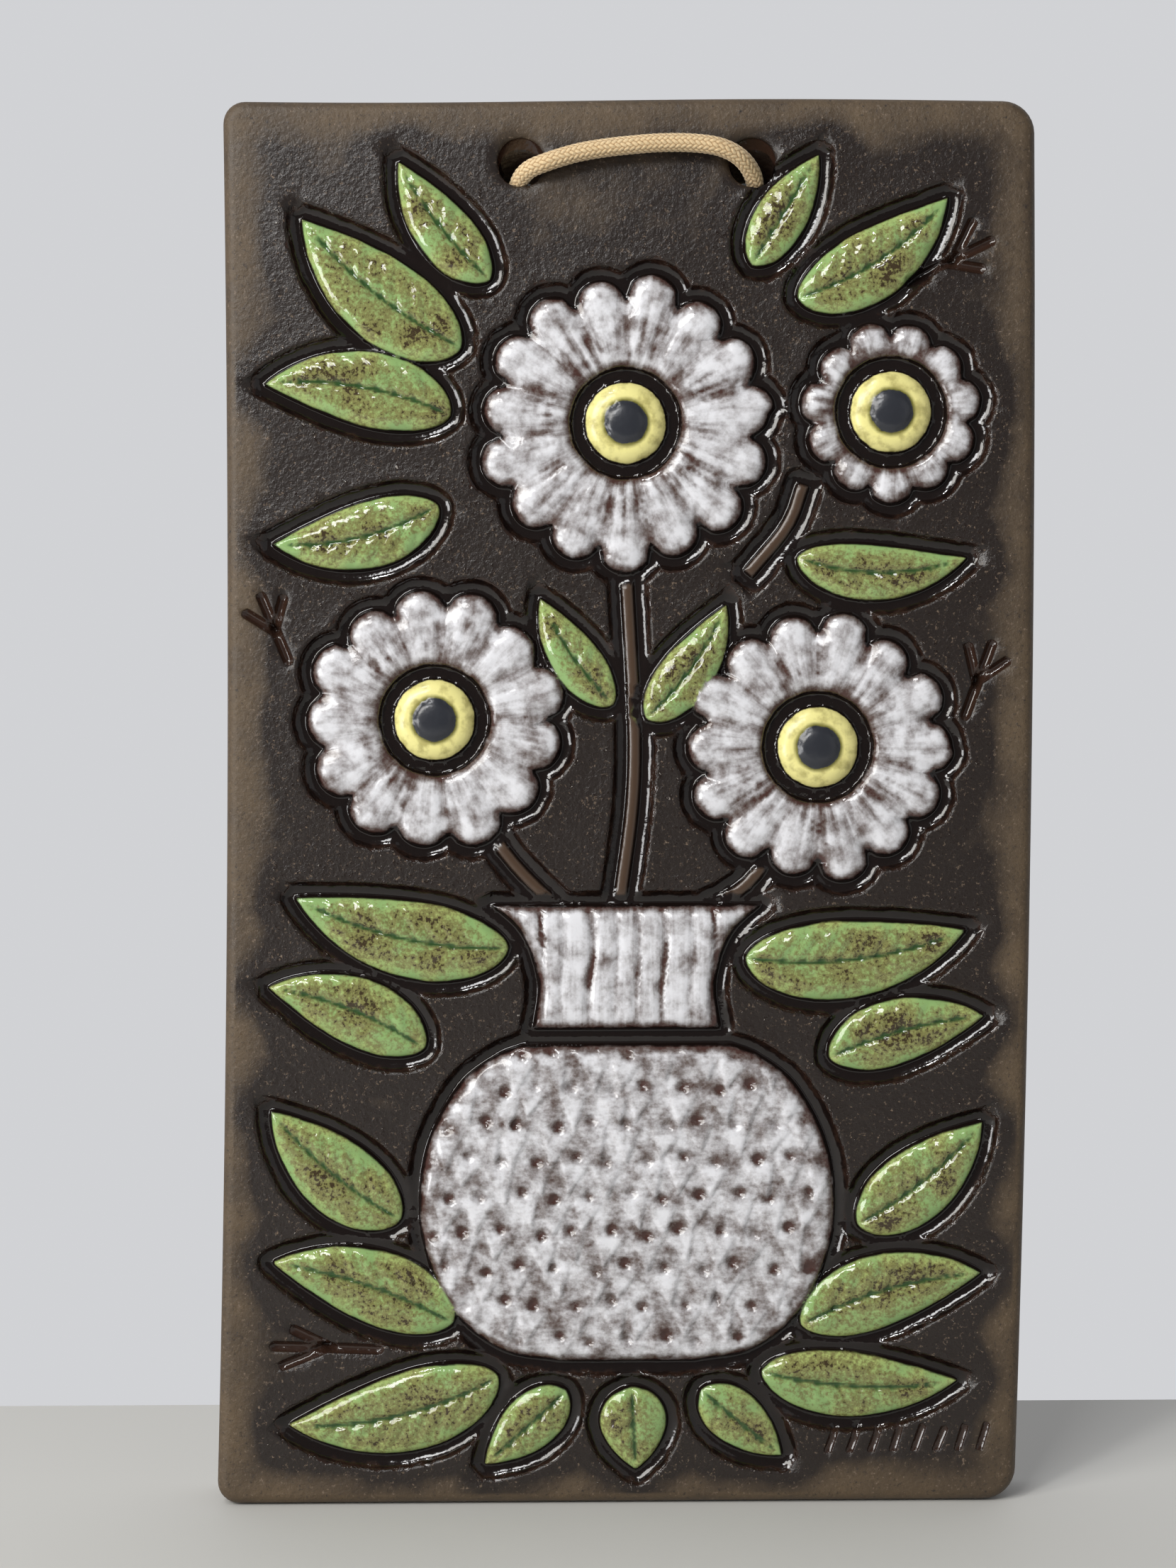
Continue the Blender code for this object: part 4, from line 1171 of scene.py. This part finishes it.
# %% [markdown]
# ### White tin glaze
# The flowers and the jug carry an opaque white glaze. It is thick and cool white on the flats, thin and
# grey-brown over ridges and at the rim, and it leaves red-brown clay showing in the pits of the tool marks.

# %% White glaze
def white_glaze(tree, place, rim, hollow, grain):
    """Colour and coverage of the white glaze."""
    blotch = add(tree, "TexNoise", {"Vector": place, "Scale": per_mm(4.5), "Detail": 6, "Roughness": 0.62})
    fine = add(tree, "TexNoise", {"Vector": place, "Scale": per_mm(0.7), "Detail": 3})
    stretched = add(tree, "VectorMath", {0: grain, 1: (0.10, 1.1, 0.0)}, operation="MULTIPLY")
    streak = add(tree, "TexNoise", {"Vector": stretched, "Scale": 1.0, "Detail": 3})
    near_rim = add(tree, "MapRange", {0: rim, 1: -2.6, 2: -0.3}, **SMOOTH)
    thin = add(tree, "Math", {0: near_rim, 1: 0.35}, operation="MULTIPLY")
    thin = add(tree, "Math", {0: blotch, 1: thin}, operation="ADD")
    filled = add(tree, "TexNoise", {"Vector": place, "Scale": per_mm(11), "Detail": 1})
    filled = add(tree, "MapRange", {0: filled, 1: 0.36, 2: 0.62, 3: 0.14, 4: 0.50})
    thin = add(tree, "Math", {0: hollow, 1: filled, 2: thin}, operation="MULTIPLY_ADD")
    thin = add(tree, "Math", {0: streak, 1: 0.25, 2: thin}, operation="MULTIPLY_ADD")
    share = add(tree, "MapRange", {0: thin, 1: 0.46, 2: 0.92}, **SMOOTH)
    colour = add(tree, "Mix", {0: share, 6: paint("#D8D8DC"), 7: paint("#5E524E")}, **COLOUR)
    bare = add(tree, "Math", {0: fine, 1: 0.35, 2: thin}, operation="MULTIPLY_ADD")
    bare = add(tree, "MapRange", {0: bare, 1: 1.03, 2: 1.20}, **SMOOTH)
    colour = add(tree, "Mix", {0: bare, 6: colour, 7: paint("#452E29")}, **COLOUR)
    feather = add(tree, "Math", {0: blotch, 1: 1.6, 2: rim}, operation="MULTIPLY_ADD")
    cover = add(tree, "MapRange", {0: feather, 1: 0.45, 2: -0.15}, **SMOOTH)
    return colour, cover


# %% [markdown]
# ### Green leaf glaze
# A copper glaze, glassy and uneven. It ran down the domes and pooled grass green along their edges. On the
# crowns it is thin: olive, with dark flecks of iron that came up from the clay. The veins hold deep green.

# %% Green glaze
def green_glaze(tree, place, rim, hollow):
    """Colour and coverage of the leaf glaze."""
    blotch = add(tree, "TexNoise", {"Vector": place, "Scale": per_mm(9), "Detail": 4})
    speck = add(tree, "TexNoise", {"Vector": place, "Scale": per_mm(0.9), "Detail": 5, "Roughness": 0.7})
    warm = add(tree, "MapRange", {0: blotch, 1: 0.35, 2: 0.65}, **SMOOTH)
    colour = add(tree, "Mix", {0: warm, 6: paint("#A3B06A"), 7: paint("#86A568")}, **COLOUR)
    crown = add(tree, "MapRange", {0: rim, 1: -0.6, 2: -3.6}, **SMOOTH)
    brown = add(tree, "Math", {0: blotch, 1: -0.7, 2: speck}, operation="MULTIPLY_ADD")
    brown = add(tree, "Math", {0: crown, 1: 0.16, 2: brown}, operation="MULTIPLY_ADD")
    olive = add(tree, "MapRange", {0: brown, 1: 0.10, 2: 0.34}, **SMOOTH)
    olive = add(tree, "Math", {0: olive, 1: 0.85}, operation="MULTIPLY")
    fleck = add(tree, "MapRange", {0: brown, 1: 0.36, 2: 0.44}, **SMOOTH)
    deep = add(tree, "MapRange", {0: hollow, 1: 0.35, 2: 1.0}, **SMOOTH)
    for share, hue in ((olive, "#6F6840"), (fleck, "#3B3020"), (deep, "#2E4A26")):
        colour = add(tree, "Mix", {0: share, 6: colour, 7: paint(hue)}, **COLOUR)
    feather = add(tree, "Math", {0: blotch, 1: 1.2, 2: rim}, operation="MULTIPLY_ADD")
    cover = add(tree, "MapRange", {0: feather, 1: 0.30, 2: -0.15}, **SMOOTH)
    return colour, cover


# %% [markdown]
# ### Yellow ring and dark middle
# Each flower has a ring of opaque yellow glaze with a slate-black, satin middle brushed on top.

# %% Yellow and black glaze
def ring_glaze(tree, place, rim, grain):
    """Colour and coverage of the yellow ring with its dark middle."""
    blotch = add(tree, "TexNoise", {"Vector": place, "Scale": per_mm(2.6), "Detail": 5})
    tone = add(tree, "MapRange", {0: blotch, 1: 0.42, 2: 0.72}, **SMOOTH)
    colour = add(tree, "Mix", {0: tone, 6: paint("#E2DA90"), 7: paint("#B0A766")}, **COLOUR)
    radius = add(tree, "SeparateXYZ", {0: grain})
    radius = add(tree, "Math", {0: blotch, 1: 0.9, 2: radius}, operation="MULTIPLY_ADD")
    halo = add(tree, "MapRange", {0: radius, 1: 6.3, 2: 5.2}, **SMOOTH)
    middle = add(tree, "MapRange", {0: radius, 1: 5.35, 2: 5.05}, **SMOOTH)
    for share, hue in ((halo, "#6E6A2C"), (middle, "#2A2C32")):
        colour = add(tree, "Mix", {0: share, 6: colour, 7: paint(hue)}, **COLOUR)
    feather = add(tree, "Math", {0: blotch, 1: 0.8, 2: rim}, operation="MULTIPLY_ADD")
    cover = add(tree, "MapRange", {0: feather, 1: 0.15, 2: -0.15}, **SMOOTH)
    return colour, cover, middle


# %% [markdown]
# ### One skin over clay and glazes
# The kiln melts all glazes onto the clay in one firing, so one material carries them all. It starts with the
# bare clay and lays each glaze over it by its mask: the groove glaze first, then white, green and yellow.
# All are glass, with the IOR of glass, 1.5, and differ in roughness: the leaves are the shiniest and the
# yellow rings are satin.

# %% Fired piece
def glazed_stoneware():
    """The one material of the fired piece: bare clay with each glaze laid over it by its mask."""
    material, tree = new_material("glazed_stoneware")
    place = add(tree, "TexCoord", take="Object")
    rim, line, edge, hollow = [add(tree, "Attribute", take="Fac", attribute_name=name)
                               for name in ("rim_mm", "line_mm", "edge_mm", "hollow")]
    grain = add(tree, "Attribute", attribute_name="grain", take="Vector")
    kinds = add(tree, "Attribute", take=None, attribute_name="kind")
    split = add(tree, "SeparateColor", {0: kinds.outputs["Color"]}, take=None)
    base, rough, height = stoneware(tree, place, rim, edge)
    dark, dark_cover = groove_glaze(tree, place, rim)
    pressed = add(tree, "MapRange", {0: line, 1: 0.25, 2: -0.15}, **SMOOTH)
    dark_cover = add(tree, "Math", {0: dark_cover, 1: pressed}, operation="MAXIMUM")
    base = add(tree, "Mix", {0: dark_cover, 6: base, 7: dark}, **COLOUR)
    rough = add(tree, "Mix", {0: dark_cover, 2: rough, 3: 0.10})
    bumps = add(tree, "Mix", {0: dark_cover, 2: height, 3: 0.0})
    strip = add(tree, "MapRange", {0: rim, 1: -0.2, 2: -0.9}, **SMOOTH)
    strip = add(tree, "Math", {0: strip, 1: kinds.outputs["Alpha"]}, operation="MULTIPLY")
    base = add(tree, "Mix", {0: strip, 6: base, 7: paint("#463528")}, **COLOUR)
    rough = add(tree, "Mix", {0: strip, 2: rough, 3: 0.3})
    layers = ((white_glaze(tree, place, rim, hollow, grain), split.outputs[0], 0.17),
              (green_glaze(tree, place, rim, hollow), split.outputs[1], 0.08),
              (ring_glaze(tree, place, rim, grain), split.outputs[2], 0.26))
    for layer, kind, gloss in layers:
        cover = add(tree, "Math", {0: layer[1], 1: kind}, operation="MULTIPLY")
        base = add(tree, "Mix", {0: cover, 6: base, 7: layer[0]}, **COLOUR)
        rough = add(tree, "Mix", {0: cover, 2: rough, 3: gloss})
    ripple = add(tree, "TexNoise", {"Vector": place, "Scale": per_mm(1.7), "Detail": 2})
    bumps = add(tree, "Math", {0: ripple, 1: 0.10, 2: bumps}, operation="MULTIPLY_ADD")
    bump = add(tree, "Bump", {"Strength": 0.8, "Distance": MM, "Height": bumps})
    shader = add(tree, "BsdfPrincipled",
                 {"Base Color": base, "Roughness": rough, "Normal": bump, "IOR": 1.5})
    add(tree, "OutputMaterial", {0: shader}, take=None)
    print(material.name, "has", len(tree.nodes), "nodes")
    return material


slab.data.materials.append(glazed_stoneware())


# %% [markdown]
# ### Cotton cord
# Undyed cotton: warm beige yarn, matt and slightly fuzzy, with painted shade in the gaps of the braid. Each
# strand is several fine threads, drawn here a little coarser than the real 0.2 mm so that they show.

# %% Cotton
def braided_cotton():
    """Yarn with painted shade that darkens the gaps of the braid, and a fine fuzz."""
    material, tree = new_material("braided_cotton")
    place = add(tree, "TexCoord", take="Object")
    braid = add(tree, "Attribute", attribute_name="braid", take="Fac")
    fuzz = add(tree, "TexNoise", {"Vector": place, "Scale": per_mm(0.35), "Detail": 4})
    tone = add(tree, "TexNoise", {"Vector": place, "Scale": per_mm(6), "Detail": 3})
    yarn = add(tree, "Mix", {0: tone, 6: paint("#DBC49C"), 7: paint("#C8AC82")}, **COLOUR)
    # painted shade: the low places of the braid, between the strands, are darkened to a deeper brown
    gap = add(tree, "MapRange", {0: braid, 1: 0.75, 2: 0.2}, **SMOOTH)
    yarn = add(tree, "Mix", {0: gap, 6: yarn, 7: paint("#A08058")}, **COLOUR)
    light = add(tree, "MapRange", {0: fuzz, 1: 0.3, 2: 0.7, 3: 0.85, 4: 1.12})
    yarn = add(tree, "VectorMath", {0: yarn, 3: light}, operation="SCALE")
    bump = add(tree, "Bump", {"Strength": 0.6, "Distance": 0.2 * MM, "Height": fuzz})
    shader = add(tree, "BsdfPrincipled",
                 {"Base Color": yarn, "Roughness": 0.85, "Normal": bump, "Sheen Weight": 0.25})
    add(tree, "OutputMaterial", {0: shader}, take=None)
    print(material.name, "has", len(tree.nodes), "nodes")
    return material


cotton = braided_cotton()
cord.data.materials.append(cotton)
knot.data.materials.append(cotton)

# %% [markdown]
# ## Stage and light
# The plaque stands upright on a pale board, with pale air behind it. The light is a big soft window at the
# upper left. Smaller panes beside, above and below it put the thin glints on the glaze.

# %% Stage
SHELF_BACK = 66 * MM
SHELF_FRONT = -600 * MM
SHELF_HALF = 700 * MM
SHELF_THICKNESS = 20 * MM
SHELF_GAP = 0.3 * MM


def make_stage():
    """A plain pale board under the slab."""
    low = -SLAB_HEIGHT / 2 - SHELF_GAP
    mesh = bmesh.new()
    bmesh.ops.create_cube(mesh, size=1)
    size = (2 * SHELF_HALF, SHELF_BACK - SHELF_FRONT, SHELF_THICKNESS)
    bmesh.ops.scale(mesh, vec=size, verts=mesh.verts[:])
    data = bpy.data.meshes.new("shelf")
    mesh.to_mesh(data)
    mesh.free()
    shelf = into_scene("shelf", data)
    shelf.location = (0, (SHELF_BACK + SHELF_FRONT) / 2, low - SHELF_THICKNESS / 2)
    material, tree = new_material("painted_shelf")
    shader = add(tree, "BsdfPrincipled", {"Base Color": paint("#C8C7C3"), "Roughness": 0.7})
    add(tree, "OutputMaterial", {0: shader}, take=None)
    data.materials.append(material)


def area_light(name, place, size, power, tone="#FFFFFF"):
    """A square lamp that faces the slab's middle."""
    data = bpy.data.lights.new(name, "AREA")
    data.size = size
    data.energy = power
    data.color = paint(tone)[:3]
    lamp = into_scene(name, data)
    lamp.location = place
    lamp.rotation_euler = (-Vector(place)).to_track_quat("-Z", "Y").to_euler()


make_stage()
area_light("window", (-0.92, -1.00, 0.66), 0.60, 12.3, "#FFFDF8")
area_light("upper_pane", (-0.42, -1.05, 0.70), 0.30, 5.0)
area_light("bright_pane", (-0.42, -0.70, 1.15), 0.10, 3.2)
area_light("left_pane", (-1.05, -0.80, -0.12), 0.44, 7.0)
area_light("fill", (1.2, -1.1, 0.3), 1.2, 1.5)


def make_room():
    """Air that is pale behind and above the plaque, and dimmer in the room before it."""
    world = bpy.data.worlds.new("room")
    bpy.context.scene.world = world
    world.use_nodes = True
    tree = world.node_tree
    tree.nodes.clear()
    direction = add(tree, "TexCoord", take="Generated")
    split = add(tree, "SeparateXYZ", {0: direction}, take=None)
    bright = add(tree, "MapRange", {0: split.outputs[1], 1: -0.35, 2: 0.45, 3: 0.20, 4: 0.95}, **SMOOTH)
    air = add(tree, "Background", {0: paint("#D6D7DA"), 1: bright})
    add(tree, "OutputWorld", {0: air}, take=None)


make_room()
bpy.context.scene.view_settings.view_transform = "Standard"
